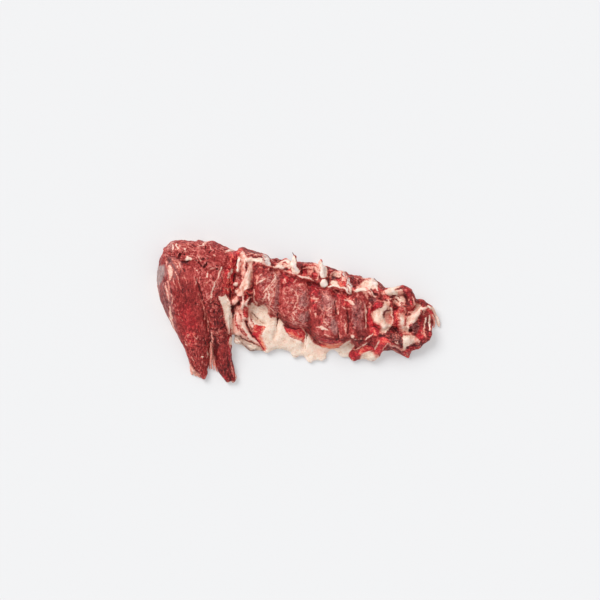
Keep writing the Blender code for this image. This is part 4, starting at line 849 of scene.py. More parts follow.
NECK_MARKS = [
    grit(patch(200,52, 232,40, 234,8, 206,8), 0.25, 4),
    grit(patch(98,-72, 130,-70, 150,-78, 160,-52, 182,-60, 162,-92, 120,-104), 0.2, 4),
    grit(patch(146,20, 170,18, 150,-2, 140,4, 140,-48, 164,-48, 150,-20), 0.25, 4),
    tone(patch(140,60, 200,60, 290,20, 290,-60, 210,-110, 110,-110, 120,-70, 140,-40), 0.46, 5),
    # the valley after the slab, and the torn red meat along it
    tone(patch(139,28, 156,28, 157,18, 148,12, 140,16), 0.24, 3),
    film(patch(140,28, 153,27, 155,20, 142,18), 0.6),
    fresh(line((142,3, 141,-10, 142,-22, 146,-31), (3, 4.5, 5, 4.5)), 1.3, 2.5),
    dark(line((137,10, 136.5,-6, 137,-20), (1.4, 2, 1.4)), 0.5, 2.2, -0.6),
    streak((141,16, 142.5,12, 141,9), (1.2, 1.6, 1), 0.9),
    fresh(patch(145,1, 148,12, 152,16, 160,17.5, 168,14, 166,8, 160,3, 152,1), 1.25, 2.2),
    tone(patch(150,4, 154,15, 166,13, 160,5), 0.5, 3),
    dark(patch(143,15, 149,15, 149,8, 146,2, 142,6), 0.65, 2.5),
    fresh(patch(143,-22, 152,-21, 161,-26, 163,-38, 158,-48, 148,-48, 142,-40), 1.35, 2.5),
    tone(patch(148,-34, 162,-30, 162,-44, 150,-46), 0.66, 3),
    cleft((143,-29, 150,-31, 157,-34), (1.6, 2, 1), 0.6, -0.6),
    # the strip above the mound
    tone(patch(155,32, 178,32, 180,20, 156,20), 0.36, 3),
    fresh(line((160,30, 170,31, 178,29), (2, 2.5, 2)), 0.4),
    dark(spot(161,24, 4.2,3.2), 0.7, 2.5),
    tone(STRIP_END, 0.62, 2.5),
    fresh(STRIP_END, 0.5, 2.5),
    streak((174,23, 178,22, 177,20), (1.2, 1.6, 1), 0.9, 0.9),
    streak((181,23.5, 184,23.5, 188,23), (0.8, 1.2, 0.8), 0.8, 0.9),
    cleft((179,27, 184,26.5, 188,25.5), (1, 1.8, 1), 0.75, -0.6),
    streak((156,22, 165,19, 170,19), (0.6, 0.9, 0.7), 0.85, 0.8),
    tone(patch(180,21, 189,20, 191,10, 186,6, 181,10), 0.38),
    fresh(spot(184,15, 3.5,4), 0.35),
    dark(line((181,14, 182,10, 185,6), (1, 1.6, 1.6)), 0.65, 1.8),
    streak((188,20, 190,14), 1, 0.8, 0.8),
    # the cream mound
    tone(patch(145,6, 181,24, 190,-10, 176,-46, 158,-50, 144,-14), 0.1),
    fat(patch(147,-1, 153,2, 161,4, 167,9, 169,15, 170,19, 175,20, 180,19, 181,12, 180,6, 185,6, 187,0,
        187.5,-14, 186,-26, 183,-33, 178,-38, 172,-44, 165,-47, 161,-42, 163,-34, 160,-27, 154,-23,
        148,-20, 145.5,-11), 0.24, 0.4, 2.8),
    flush(line((160,-25, 163,-33, 163,-42, 166,-46), (2.2, 2.6, 2.4, 2)), 0.85),
    tone(patch(148,-4, 158,-2, 164,-14, 160,-20, 150,-16), 0.26, 4),
    flush(line((148,-2, 147,-12, 150,-20, 158,-26), (1.6, 1.6, 1.8, 1.8)), 0.7, 2.5),
    flush(spot(156,-7, 4,4), 0.32),
    flush(patch(168,20, 181,21, 181,14, 169,12), 0.32),
    dark(line((152,3, 160,3.5, 165,6), (1, 1.2, 1)), 0.35),
    dark(spot(161,-17, 1.2,1.6), 0.5, 1.5),
    dark(spot(150,-6, 3,3), 0.35, 2.5),
    dark(spot(164,-31, 3,4), 0.35, 3),
    # the dark ring in it, and the pink ridges inside
    lift(spot(177,-11, 10,16), -2, 6),
    lean(line((182,2, 176,1.5, 171,-1, 169,-7, 169,-12), (0.6, 1.8, 2.2, 2.4, 1)), 1.6),
    tone(line((183,3, 176,2, 171,0, 168.5,-6, 168,-12, 171,-20), (2, 3, 3.4, 3.4, 3, 2)), 0.28),
    dark(line((183,3, 176,2, 171,0, 168.5,-6, 168,-12, 170,-18, 173,-26),
        (1.6, 2.6, 3, 3, 2.6, 1.8, 0.9)), 0.62, 2.4),
    fat(patch(172,-4, 178,-5, 184,-4, 187,-14, 185,-24, 180,-27, 174,-26, 171,-18, 171,-10),
        0.75, 0, 3.4, 0.66),
    film(patch(170,2, 184,0, 187,-14, 184,-27, 174,-26, 169,-12)),
    bone(patch(172,-5, 180,-6, 182,-16, 180,-25, 174,-24, 171,-14), 0.42),
    dark(line((171,-8, 177,-7, 184,-8), (0.6, 0.8, 0.6)), 0.55, 1.4),
    dark(line((172,-12, 178,-11.5, 185,-13), (0.6, 0.8, 0.6)), 0.5, 1.4),
    dark(line((172,-16.5, 178,-17, 185,-17), (0.6, 0.8, 0.6)), 0.5, 1.4),
    dark(line((174,-21, 179,-22, 185,-21), (0.6, 0.8, 0.6)), 0.5, 1.4),
    streak((174,-9.5, 178,-9.5), (0.8, 0.7), 0.4, 0.9),
    streak((175,-14, 182,-15), (0.9, 0.8), 0.45, 0.9),
    streak((177,-19.5, 184,-19), 0.8, 0.4, 0.9),
    streak((177,-4, 181,-3), 0.9, 0.5, 0.9),
    streak((181,5, 184,0, 186,-6), (0.8, 1, 0.8), 0.35, 0.95),
    dark(line((180,9, 181,3), (0.7, 0.8)), 0.55, 1.4),
    dark(line((184,4, 187,-3), 0.7), 0.5, 1.4),
    # a painted highlight, drawn as a pale streak of fat
    streak((176,7, 178,3), (1.4, 1), 0.25, 0.95),
    dark(line((174,8, 174,4), 0.7), 0.5, 1.3),
    # the deep cleft beyond it, with painted shade in it
    tone(patch(184,12, 190,10, 191,-4, 190,-28, 186,-28, 187,-4), 0.26),
    dark(line((185,9, 188,2, 188,-8), (1.6, 1.8, 1.4)), 0.55, 2),
    fresh(line((189,-8, 189,-26), (1.4, 1.6)), 0.3),
    lift(line((180,22, 187,10, 190,-6, 190,-30), (8, 8, 8, 7)), 5),
    fresh(line((192,-4, 193,-14, 192.5,-28), (1.6, 2.4, 2.4)), 1.2),
    fresh(spot(194,3, 4.6,5), 1.1),
    dark(line((190.5,0.5, 193,3, 196,7), (1.4, 2.2, 1.2)), 0.95, 1.5, -0.8),
    fresh(line((196,8, 203,7), (1.8, 1.6))),
    # the salmon mound
    tone(patch(194,8, 214,8, 218,-10, 217,-44, 200,-44), 0.3),
    fat(patch(199,2, 203,8, 208,9, 214,6, 215,1, 213,-8, 218,-12, 218,-28, 216,-38, 209,-43, 203,-40,
        200,-31, 198,-16, 198,-6), 0.95, 0.1, 4, 0.86),
    fresh(line((195.5,-2, 195,-14, 196,-28, 198,-38), (2, 2.6, 2.6, 2)), 1.2, 3),
    tone(line((196,-2, 196,-14, 197,-28, 199,-38), (2, 2.4, 2.4, 2)), 0.58, 3),
    flush(patch(201,-11, 208,-11, 208.5,-26, 203,-26), -0.1, 3.5),
    flush(line((205,5, 211,3), (2, 1.6)), 0.35, 2),
    flush(patch(204,-31, 215,-29, 215,-37, 207,-40), 0.35, 2.5),
    fresh(line((212,-8, 213,-16, 212,-28), (0.6, 2, 1)), 0.7, 2.5),
    dark(line((213.5,-14, 213.5,-22, 212,-29), (0.8, 1.2, 0.9)), 0.45, 1.8),
    fresh(patch(199,6, 208,8, 212,0, 204,-4, 199,-2), 0.45, 4),
    dark(spot(202,-5.5, 1.8,1.8), 0.65, 1.8),
    dark(spot(207.5,-9, 1.6,2), 0.45, 1.8),
    dark(spot(211,-3, 1.6,1.2), 0.5),
    dark(spot(215,-6.5, 1.8,1.8), 0.65),
    dark(line((200,-29, 203,-33, 202,-37), (1, 1.2, 0.8)), 0.5),
    streak((206,-31, 209,-36, 213,-40), (0.8, 1, 0.7), 0.2, 0.9),
    fresh(line((201,-43, 205,-49), (2, 2.6)), 1.1, 2.5),
    dark(spot(206.5,-46, 1.4,1.6), 0.6),
    # torn red meat below the curled flap
    fresh(patch(213,8, 231,9, 233,3, 228,-3, 216,0), 0.55, 2.5),
    fresh(line((230,10, 232,3), 2), 1.2),
    # a pink painted highlight, drawn as a raised spot of fat
    fat(spot(222.5,-2, 3.4,2.6), 0.9, 0.5, 1.8, 0.9),
    dark(line((215,-3, 217,-7, 221,-10), (0.8, 1.4, 0.8)), 0.6, 1.6, -0.5),
    dark(spot(224,3, 1.8,1.4), 0.5),
    dark(spot(217,5, 1.6,1.4), 0.45),
    fresh(line((222,-6, 222.5,-13), (2.6, 1.2)), 0.4, 1.8),
    # the curled flap
    tone(patch(190,41, 197,46, 206,50, 213,50, 220,45, 228,34, 230,22, 226,10, 212,8, 210,18, 211,30,
        205,40), 0.22, 2.5),
    film(patch(206,48, 214,47, 215,30, 208,28, 206,36), 0.45),
    fresh(patch(208,46, 218,45, 226,32, 226,22, 218,24, 212,34), 0.45, 4),
    tone(spot(214,42, 4,2.6), 0.42, 3),
    dark(line((212,27, 214,18, 214,12), (1.4, 2.2, 1.8)), 0.6, 2.4),
    tone(FLAP_CREASE, 0.4, 2.5),
    fresh(FLAP_CREASE, 0.95, 2.5),
    streak((219.5,24, 218,22), 1, 0.9, 0.8),
    lift(line((203,9, 212,8, 224,11), 7), 4),
    cleft((203,9, 210,8.5, 217,9.5, 224,12.5), (0.9, 1.3, 1.8, 1.4), 0.95, -0.8),
    streak((227,27, 229.5,20, 231,13), (1, 1.8, 2), 0.9, 0.95),
    # the pale sheet on it, and the pale oval below
    tone(patch(166,40, 190,50, 206,48, 214,24, 206,8, 188,10, 186,28), 0.15),
    fat(patch(166,38, 172,42, 178,46, 186,48.5, 200,49, 206,46, 208,42, 208,34, 198,31, 190,30.5,
        183,29.5, 176,32.5, 169,32.5), 0.14, 0.3, 2.6),
    flush(spot(170,37, 4,5), 0.8),
    lean(line((191,41, 198,43.5, 206,47), (1, 1.8, 3))),
    fat(patch(196,40, 203,42, 208,40, 207,32.5, 198,32), 0.75, 0, 3, 0.72),
    bone(patch(180,43, 190,44, 194,39, 192,33, 182,34), 0.45, 4),
    dark(line((181,47, 192,47.5, 200,47), (0.8, 0.9, 0.8)), 0.45, 1.3),
    dark(line((191,41, 197,43, 204,45.5), (0.8, 1.2, 1.6)), 0.5, 1.8),
    dark(patch(205,43, 211,41, 211,33, 205,34), 0.45, 3),
    # painted shadow of the fold between the pale sheet and the oval below
    cleft((187,29.5, 196,30.5, 205,31.5), (0.7, 0.9, 1.1), 0.75, -0.6),
    fat(patch(191,27, 197,29.5, 206,30, 210,26, 211.5,20, 210,13, 205,10, 197,10, 191,13, 189.5,19),
        0.28, 0.5, 2.8),
    tone(patch(190,26, 198,22, 205,13, 196,9, 190,13), 0.4, 3),
    lean(line((189,25, 194,23, 199,18), (1.2, 1.4, 0.8)), 1),
    lean(line((211,15, 206,17, 202,15), (1.2, 1.2, 0.6)), 1),
    lean(line((197,31, 200,26), (1.2, 0.8)), 0.9),
    flush(line((207,30, 210,21, 208,12), (2, 2.2, 2)), 0.4, 2.2),
    flush(patch(189,17, 198,16, 198,9, 190,11), 0.85, 2.5),
    dark(spot(193.5,22, 2.6,2.2), 0.6, 2),
    dark(spot(201,24, 3,3), 0.3, 3),
    fresh(spot(204.5,12.5, 2,2.4), 0.9, 1.8),
    # bands of fat down the right side
    tone(patch(232,16, 262,12, 262,0, 240,-4, 234,-20, 216,-48, 210,-10, 228,-6), 0.34),
    fat(patch(232,16, 239,14, 244,9, 243,2, 242,-4, 240,-10, 237,-16, 231,-21, 224,-24, 221,-28,
        220.5,-34, 221,-42, 213,-45, 213,-34, 214.5,-24, 216,-14, 222,-8, 226,-3, 229,1, 232,7),
        0.36, 0.3, 3.2),
    flush(spot(235,-5, 3,3), 0.6, 2.5),
    flush(line((234,13, 236,4), (1.5, 2)), 0.5, 2),
    dark(line((226,-13, 231,-9), (0.8, 1)), 0.35, 2),
    fat(line((240,9, 246,5, 252,7, 258,9), (2.4, 2.6, 1.8, 2)), 0.35, 0.3, 1.8, 0.93),
    streak((253,8, 250.5,0, 248,-9), (1, 1.4, 0.9), 0.55, 0.92),
    dark(spot(243,-2, 2,2.6), 0.55),
    streak((245.5,-1, 246.5,-6), (0.8, 0.7), 0.7, 0.8),
    # the red strip along the upper edge
    tone(patch(231,24, 242,21, 252,15, 262,10.5, 252,11, 246,9, 236,14), 0.3),
    fresh(line((236,19, 246,14.5, 254,13), (2, 2.6, 1.2)), 0.4),
    dark(line((232,23.5, 242,20, 252,15, 261,10.5), (0.8, 0.8, 0.9, 0.9)), 0.7, 1.4),
    dark(spot(247,9.8, 2.2,1.4), 0.75, 1.5, -0.5),
    dark(spot(233,18, 1.6,1.4), 0.6, 1.5),
    # the dark hollow with its hole
    tone(patch(236,-13, 243,-11, 252,-9, 256,-28, 258,-46, 246,-50, 234,-44, 223,-40, 222,-24, 230,-20),
        0.24, 2.5),
    fresh(patch(238,-12, 251,-11, 250,-34, 244,-38, 238,-28), 0.55, 3),
    tone(patch(239,-12, 250,-11, 249,-32, 240,-30), 0.32, 3),
    film(HOLLOW_SIDE, 0.6),
    web(HOLLOW_SIDE, 0.5),
    dark(spot(237,-22, 3,4), 0.45, 3),
    dark(spot(242,-29, 3,6), 0.35, 3),
    # the hole, blackened with painted shade
    dark(line((224.5,-33.5, 222.5,-37, 219.5,-40), (2.2, 2.6, 1.2)), 1.25, 1.4, -2),
    fresh(patch(238,-38, 247,-37, 249,-50, 244,-58, 236,-60, 233,-52), 0.8, 3),
    tone(patch(238,-38, 247,-37, 249,-50, 240,-56), 0.42, 3),
    dark(spot(243.5,-48, 2,2), 0.55, 1.8),
    streak((245.5,-42, 246.5,-45), 1.2, 0.95),
    fat(line((249,-36, 250,-44, 253,-51), (1.2, 2, 1.6)), 0.75, 0.2, 1.8, 0.85),
    # the tip, where strings hang off
    tone(TIP_HOOK, 0.6),
    fresh(TIP_HOOK, 1.3, 1.8),
    dark(line((254,-4, 253,-10), (1.4, 1.6)), 0.5, 1.8),
    fat(line((258,9, 265,6, 270,0, 276,-14, 281,-34), (2, 2.6, 3, 3.6, 3.6)), 0.2, 0.4),
    flush(line((268,0, 271,-12, 275,-24), (1.2, 1.4, 1)), 0.8, 1.6),
    dark(line((271,-14, 274,-26), (0.7, 0.8)), 0.45, 1.3),
    fat(line((253.5,-13, 252,-22, 251,-34), (1.2, 1.8, 1.2)), 0.32, 0.2, 1.6, 0.97),
    cleft((256.5,-13, 256,-24, 257.5,-33), (0.8, 1.2, 1.6), 1, -0.6),
    fat(line((260.5,-10, 260.5,-22, 262,-38), (1.6, 2.4, 1.2)), 0.08, 0.2, 1.6, 0.97),
    tone(patch(255,-34, 262,-38, 264,-50, 257,-52, 254,-44), 0.26),
    fresh(line((260,-42, 261.5,-50), (1.6, 2)), 0.8),
    tone(patch(244,-58, 264,-48, 256,-62, 240,-72, 232,-66), 0.24),
    dark(line((262,-50, 254,-58, 244,-65), (1.8, 2.4, 2)), 0.5, 2),
    dark(spot(248.5,-56.5, 2.4,2), 0.7, 1.8),
    film(patch(232,-64, 246,-62, 244,-70, 232,-73), 0.7, 2.5),
    dark(patch(221,-70, 228,-65, 234,-64, 233,-73, 228,-73), 0.75, 1.8),
    streak((233,-67, 236,-65.5, 238,-67), (0.8, 1, 0.8), 0.8, 0.9),
    fresh(patch(219,-75, 228,-69.5, 229,-75, 222,-78), 0.8),
    # the dark marbled mound
    grit(patch(172,-36, 190,-28, 208,-44, 208,-68, 184,-68), 0.7, 4),
    tone(patch(174,-38, 190,-30, 202,-38, 207,-50, 207,-66, 200,-68, 186,-64, 176,-56), 0.15, 2.5),
    film(patch(186,-48, 205,-48, 204,-66, 186,-62), 0.6),
    fresh(patch(180,-34, 194,-32, 196,-44, 184,-47), 0.3, 3),
    web(patch(184,-48, 204,-46, 206,-66, 188,-66), 0.4),
    cleft((171,-46, 176,-41, 181,-36), (1, 1.6, 1.2), 0.8, -0.8),
    streak((193,-43, 194.5,-55), (0.5, 0.6), 0.7),
    streak((197.5,-44, 199,-55), (0.5, 0.6), 0.7),
    streak((186,-48, 187,-56), (0.5, 0.6), 0.8, 0.8),
    streak((191.5,-61, 194.5,-64, 197,-67.5), (0.8, 1.2, 1), 0.2, 0.97),
    streak((197,-60, 196.8,-66), (0.8, 1.3), 0.2, 0.97),
    dark(line((205,-54, 206,-64), (1.2, 1.4)), 0.6),
    # the cream patch and the pink beside it
    tone(patch(205,-42, 224,-42, 242,-56, 240,-66, 212,-82, 202,-80), 0.25),
    fat(patch(207,-49, 213,-49, 222,-49, 222.5,-58, 221,-66, 216,-72, 212,-79, 203,-79.5, 203,-77,
        207,-75, 206.5,-62), 0.08, 0.5, 2.2),
    flush(line((202,-78.5, 211,-78), 1.6), 0.7, 2),
    fat(line((209,-45, 215,-44.5, 222,-46), (2, 2.6, 2.2)), 0.95, 0.2, 2.2, 0.92),
    dark(line((214,-45.5, 220,-46), (0.9, 1)), 0.35, 1.5),
    fat(patch(221,-50, 229,-48, 235,-52, 241,-62, 232,-63, 221,-67), 0.26, 0.2, 2.6, 0.97),
    flush(spot(235.5,-57, 3.5,5), 0.9),
    dark(line((212,-78, 216,-73.5, 222,-68, 230,-65), (1, 1.4, 1.3, 1.4)), 0.75, 1.5),
    # the lower rim
    tone(patch(172,-66, 190,-70, 204,-79, 206,-88, 190,-80, 174,-77), 0.26),
    fresh(patch(180,-69, 192,-71, 200,-77, 198,-80, 182,-76), 0.5),
    streak((178,-63, 184,-68, 192,-70, 198,-75, 205,-78.5), (1.6, 1.2, 1.2, 1.5, 1.2), 0.75, 0.95),
    streak((184,-76, 192,-79, 204,-87), (0.6, 0.8, 0.6), 0.8, 0.8),
    # painted shadow along the lower edge
    dark(line((170,-81, 176,-79, 184,-78.5, 192,-82, 200,-86.5, 210,-92), (0.9, 1, 1.1, 1.2, 1.2, 1)),
        0.95, 1.5),
    tone(RIM_END, 0.42),
    fresh(RIM_END, 0.7),
    film(spot(215,-79.5, 3,3), 0.5, 2),
    dark(line((209,-80, 214,-84), 1), 0.6),
    streak((216.5,-85, 217.5,-89), (1.2, 1), 0.95, 0.75),
    # the front flap
    tone(FRONT_LIP, 0.13, 2.5),
    fresh(FRONT_LIP, 1.1),
    dark(spot(108.5,-79, 2.4,1.8), 0.5, 1.8),
    film(spot(114,-80, 3,2.6), 0.7, 2),
    dark(line((101,-82, 100,-90, 104,-97), 1), 0.5, 2),
    tone(FRONT_FOLD, 0.64, 2.5),
    fresh(FRONT_FOLD, 1.2, 2.2),
    grit(patch(136,-66, 138,-56, 148,-50, 160,-48, 162,-56, 152,-74), 0.6, 3),
    tone(FOLD_SHADE, 0.32),
    fresh(FOLD_SHADE, 0.35, 3),
    dark(line((149.5,-62, 151,-74), 1.4), 0.55, 1.8),
    fat(line((107,-75.5, 112,-77.5, 118,-75, 124,-71, 130,-68, 135.5,-63),
        (0.8, 1.1, 1.2, 1.3, 1.6, 0.9)), 0.5, 0.3, 1.5, 0.97),
    fat(line((134,-57, 137,-53, 142,-49.5, 148,-45), (0.9, 1.3, 1.8, 1)), 0.45, 0.3, 1.6, 0.97),
    tone(FRONT_MUSCLE, 0.44, 2.5),
    fresh(FRONT_MUSCLE, 1.35, 2, 0.5),
    fat(line((151,-78, 154,-70, 159,-60), (1.2, 1.7, 1.1)), 0.5, 0.3, 1.5, 0.97),
    fat(line((167,-78, 172,-71, 178,-64), (1, 1.4, 1.2)), 0.8, 0.2, 1.6, 0.9),
    dark(spot(155,-86, 2.2,2), 0.5, 2),
    tone(patch(122,-94, 132,-78, 150,-78, 164,-92, 148,-104, 128,-108), 0.5),
    fat(patch(123,-94, 126,-86, 132,-80.5, 140,-79.5, 148,-81, 153,-86, 161,-91, 156,-98, 148,-101,
        138,-106, 128,-104), 0.12, 0.4, 2.6),
    flush(line((125,-90, 129,-83, 136,-79), (1.6, 1.8, 1.4)), 0.7, 2),
    flush(patch(147,-78, 154,-80, 160,-92, 152,-92), 0.75, 2.5),
    dark(spot(145,-99, 1.4,0.9), 0.6, 1.3),
    dark(spot(150,-98, 1,0.8), 0.5, 1.3),
]

# In the order in which they are laid on
MARKS = [
    *FILL_MARKS, *GRIT_MARKS, *HEAD_MARKS, *LEDGE_MARKS,
    *SLAB_MARKS, *SKIRT_MARKS, *SEAM_MARKS, *NECK_MARKS,
]

# ---------------------------------------------------------------- the surface

VOXEL = 1.4
SMOOTHING_SHARE = 0.5
SMOOTHING_ROUNDS = 10


def evaluated_mesh(obj):
    """The object's mesh with its modifiers applied."""
    bpy.context.view_layer.update()
    graph = bpy.context.evaluated_depsgraph_get()
    return bpy.data.meshes.new_from_object(obj.evaluated_get(graph), depsgraph=graph)


def fine_skin(node):
    """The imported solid's mesh, remeshed finely with its facets smoothed away."""
    obj = bpy.data.objects.new("skin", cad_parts[node].data.copy())
    bpy.context.scene.collection.objects.link(obj)
    remesh = obj.modifiers.new("Remesh", "REMESH")
    remesh.mode = "VOXEL"
    remesh.voxel_size = VOXEL * MM
    smooth = obj.modifiers.new("Smooth", "SMOOTH")
    smooth.factor = SMOOTHING_SHARE
    smooth.iterations = SMOOTHING_ROUNDS
    mesh = evaluated_mesh(obj)
    bpy.data.objects.remove(obj)
    return mesh


def read_vectors(items, name):
    """An attribute of a mesh's items, one row for each."""
    flat = np.empty(len(items) * 3)
    items.foreach_get(name, flat)
    return flat.reshape(-1, 3)


def set_places(mesh, places):
    mesh.vertices.foreach_set("co", (places * MM).ravel())
    mesh.update()


def smoothstep(value, low, high):
    t = np.clip((value - low) / (high - low), 0, 1)
    return t * t * (3 - 2 * t)


NOISE_GAIN = 1.8  # brings the noise to about -1 to 1
OCTAVE_SHIFT = 13.7
CRACK_WIDTH = 0.20
SHUFFLE = np.random.default_rng(7).permutation(256)
SLOPES = np.random.default_rng(8).normal(size=(256, 3))
SLOPES /= np.linalg.norm(SLOPES, axis=1)[:, None]


def slope_noise(places):
    """Smooth noise from about -1 to 1, with lumps about one unit across."""
    cell = np.floor(places).astype(int)
    part = places - cell
    ease = part**3 * (part * (part * 6 - 15) + 10)
    total = np.zeros(len(places))
    for corner in np.ndindex(2, 2, 2):
        x, y, z = (cell + corner).T & 255
        slope = SLOPES[SHUFFLE[(SHUFFLE[(SHUFFLE[x] + y) & 255] + z) & 255]]
        weight = np.prod(np.where(corner, ease, 1 - ease), axis=1)
        total += weight * np.einsum("ij,ij->i", slope, part - corner)
    return total * NOISE_GAIN


def lumps(places, length, octaves=2, offset=0.0):
    """slope_noise with lumps of that length, and each further octave half the size."""
    total = np.zeros(len(places))
    for octave in range(octaves):
        shift = offset + OCTAVE_SHIFT * octave
        total += slope_noise(places * 2**octave / length + shift) / 2**octave
    return total


def cracks(places, length, offset=0.0):
    """From 0 to 1 along broken sheets that run through the meat like tears."""
    near = 1 - np.abs(lumps(places, length, 2, offset)) / CRACK_WIDTH
    broken = smoothstep(lumps(places, 2.2 * length, 2, offset + 40), -0.15, 0.35)
    return np.clip(near, 0, 1) ** 1.5 * broken


# The channels that the material reads, and each one's value where nothing is marked
CHANNELS = dict(fat=0.0, blush=0.2, fresh=0.0, dark=0.0, film=0.0, bone=0.0, web=0.0,
                tone=0.4, grit=0.35)
SHAPING = ("slim", "lift", "fill")
WIDEST_HALF = 10  # no line is wider than this on either side of its path
FAT_COVER = (0.2, 0.6)  # between which shares fat comes to cover what is under it
DOME = 6.0  # how far inside its edge a raised mark reaches its height


def ramp_of(deep, soft):
    """0.5 at a shape's edge, and 0 and 1 at soft outside and inside it."""
    return np.clip(0.5 + 0.5 * deep / soft, 0, 1)


def marked(plan, marks):
    """The channels' values at each plan point, and how far the marks raise it."""
    value = {name: np.full(len(plan), plain) for name, plain in CHANNELS.items()}
    value.update((name, np.zeros(len(plan))) for name in SHAPING)
    rise = np.zeros(len(plan))
    for mark in marks:
        depth, reach = mark.shape
        margin = mark.soft + WIDEST_HALF
        near = (plan > reach.min(axis=0) - margin) & (plan < reach.max(axis=0) + margin)
        at = np.flatnonzero(near.all(axis=1))
        deep, half = depth(plan[at])
        share = ramp_of(deep, mark.soft)
        if mark.kind == "fat":
            share = share * mark.strength
            value["fat"][at] = np.maximum(value["fat"][at], share)
            cover = smoothstep(share, *FAT_COVER)
            value["blush"][at] += cover * (mark.amount - value["blush"][at])
            for other in ("fresh", "bone", "film", "dark"):
                value[other][at] *= 1 - cover
        elif mark.kind in ("tone", "grit", "blush"):
            share = share * share * (3 - 2 * share)
            value[mark.kind][at] += share * (mark.amount - value[mark.kind][at])
        elif mark.kind == "lean":
            value["fat"][at] = np.minimum(value["fat"][at], 1 - share)
        elif mark.kind == "lift":
            value["lift"][at] += mark.amount * smoothstep(deep, 0, mark.soft)
        else:
            value[mark.kind][at] = np.maximum(value[mark.kind][at], share * mark.amount)
            if mark.kind == "fresh":
                value["fat"][at] = np.minimum(value["fat"][at], 1 - share)
        if mark.rise:
            dome = np.clip(deep / np.minimum(half, DOME), 0, 1)
            rise[at] += mark.rise * np.sqrt(1 - (1 - dome) ** 2)
    return value, rise


# Where the meat's fibres run: towards a far point, for the plan area inside the patch
FIBRE_FANS = [
    (patch(-290,110, -240,104, -204,94, -192,60, -186,0, -176,-60, -174,-140, -250,-140,
           -300,0), (-192, -330)),
    (patch(-204,94, -160,84, -130,60, -130,-150, -174,-150, -176,-60, -186,0, -192,60),
     (-120, -420)),
    (patch(-98,92, -60,95, -42,84, -44,20, -54,-12, -94,14), (-400, -320)),
    (patch(-42,84, 60,50, 140,40, 140,-70, 60,-80, -50,-20), (40, -900)),
]
FIBRE_SPREAD = 300.0


def fibre_places(places):
    """Each place as (across, along, depth) of the fibres there, in millimetres."""
    plan = places[:, :2]
    across, along = plan[:, 1] + 0.25 * plan[:, 0], plan[:, 0].copy()
    for (depth, _), pole in FIBRE_FANS:
        deep, _ = depth(plan)
        away = plan - pole
        at = deep > 0
        across[at] = np.arctan2(away[at, 0], away[at, 1]) * FIBRE_SPREAD
        along[at] = np.linalg.norm(away[at], axis=1)
    return np.stack([across, along, places[:, 2]], axis=1)


FIBRE_RIDGE = (3.6, 22.0, 3.6)
FIBRE_HEIGHT = 0.30
SWELL_HEIGHT = 0.5
SWELL_LENGTH = 18.0
# The relief of torn lean: the noise, its height, the power of the grit that it goes by,
# its length and its offset
TORN = (
    (lumps, 1.2, 1, 14.0, 61.0),
    (lumps, 1.1, 1, 8.0, 21.0),
    (cracks, -2.2, 2, 10.0, 3.0),
    (cracks, -1.2, 1, 5.5, 31.0),
)


def relief(places, fibres, fat, grit):
    """How far the surface stands out: fibres in the lean, and crags where it is gritty."""
    grit = grit * (1 - 0.8 * fat)
    rise = FIBRE_HEIGHT * (1 - fat) * lumps(fibres / FIBRE_RIDGE, 1.0)
    rise += SWELL_HEIGHT * lumps(places, SWELL_LENGTH, 2, 5.0)
    for noise, height, power, length, offset in TORN:
        rise += height * grit**power * noise(places, length, offset=offset)
    return rise


# Between which values a face comes to count as underside, or as looking up
FACING_DOWN = (-0.15, 0.35)
FACING_UP = (-0.05, 0.3)
# a side low down takes painted shade between these heights
LOW_WALL = (16, 4)  # heights, going down, between which a side darkens
UNDER_FAT = (-0.30, 0.10)  # values of the noise between which the underside turns to fat
UNDER_BLUSH = 0.30
UNDER_FILM = 0.7
WALL_SHADE = 0.25


def outer_walls(places, normals, value):
    """Fat and film for the back, the lower sides and the underside, which no mark draws, and painted
    shade low on the sides.
    """
    under = smoothstep(-normals[:, 2], *FACING_DOWN)
    low = smoothstep(places[:, 2], *LOW_WALL) * (1 - under)
    cap = smoothstep(lumps(places * (1, 1, 2), 60.0, 4, 9.0), *UNDER_FAT)
    value["bone"] *= smoothstep(normals[:, 2], *FACING_UP)
    value["fat"] += under * (cap - value["fat"])
    value["blush"] += under * (UNDER_BLUSH - value["blush"])
    value["film"] += under * (UNDER_FILM - value["film"])
    for name in ("fresh", "bone", "web", "dark"):
        value[name] *= 1 - under
    # painted shade on the lean low down the sides
    value["dark"] = np.maximum(value["dark"], WALL_SHADE * low * (1 - value["fat"]))


def set_channels(mesh, value, fibres):
    """Stores the channels and the fibres' places as attributes."""
    for name, numbers in value.items():
        made = mesh.attributes.new(name, "FLOAT", "POINT")
        made.data.foreach_set("value", np.asarray(numbers, np.float32))
    made = mesh.attributes.new("fibre", "FLOAT_VECTOR", "POINT")
    made.data.foreach_set("vector", (fibres * MM).astype(np.float32).ravel())


# The length of each warp's lumps, how far it pushes, and the noise's offset
WARP = ((14.0, 1.6, 3.0), (5.0, 0.9, 11.0))


def warped(places):
    """The plan with its points pushed about a little, so that no drawn edge is smooth."""
    plan = places[:, :2].copy()
    for length, reach, offset in WARP:
        plan[:, 0] += reach * lumps(places, length, 2, offset)
        plan[:, 1] += reach * lumps(places, length, 2, offset + 50)
    return plan


def evened(mesh, places, rounds):
    """The places averaged over their neighbours that many times."""
    ends = np.empty(len(mesh.edges) * 2, int)
    mesh.edges.foreach_get("vertices", ends)
    a, b = ends.reshape(-1, 2).T
    count = len(places)
    shared = np.bincount(a, minlength=count) + np.bincount(b, minlength=count)
    for _ in range(rounds):
        around = [
            np.bincount(a, places[b, i], count) + np.bincount(b, places[a, i], count)
            for i in range(3)
        ]
        places = np.stack(around, axis=1) / shared[:, None]
    return places


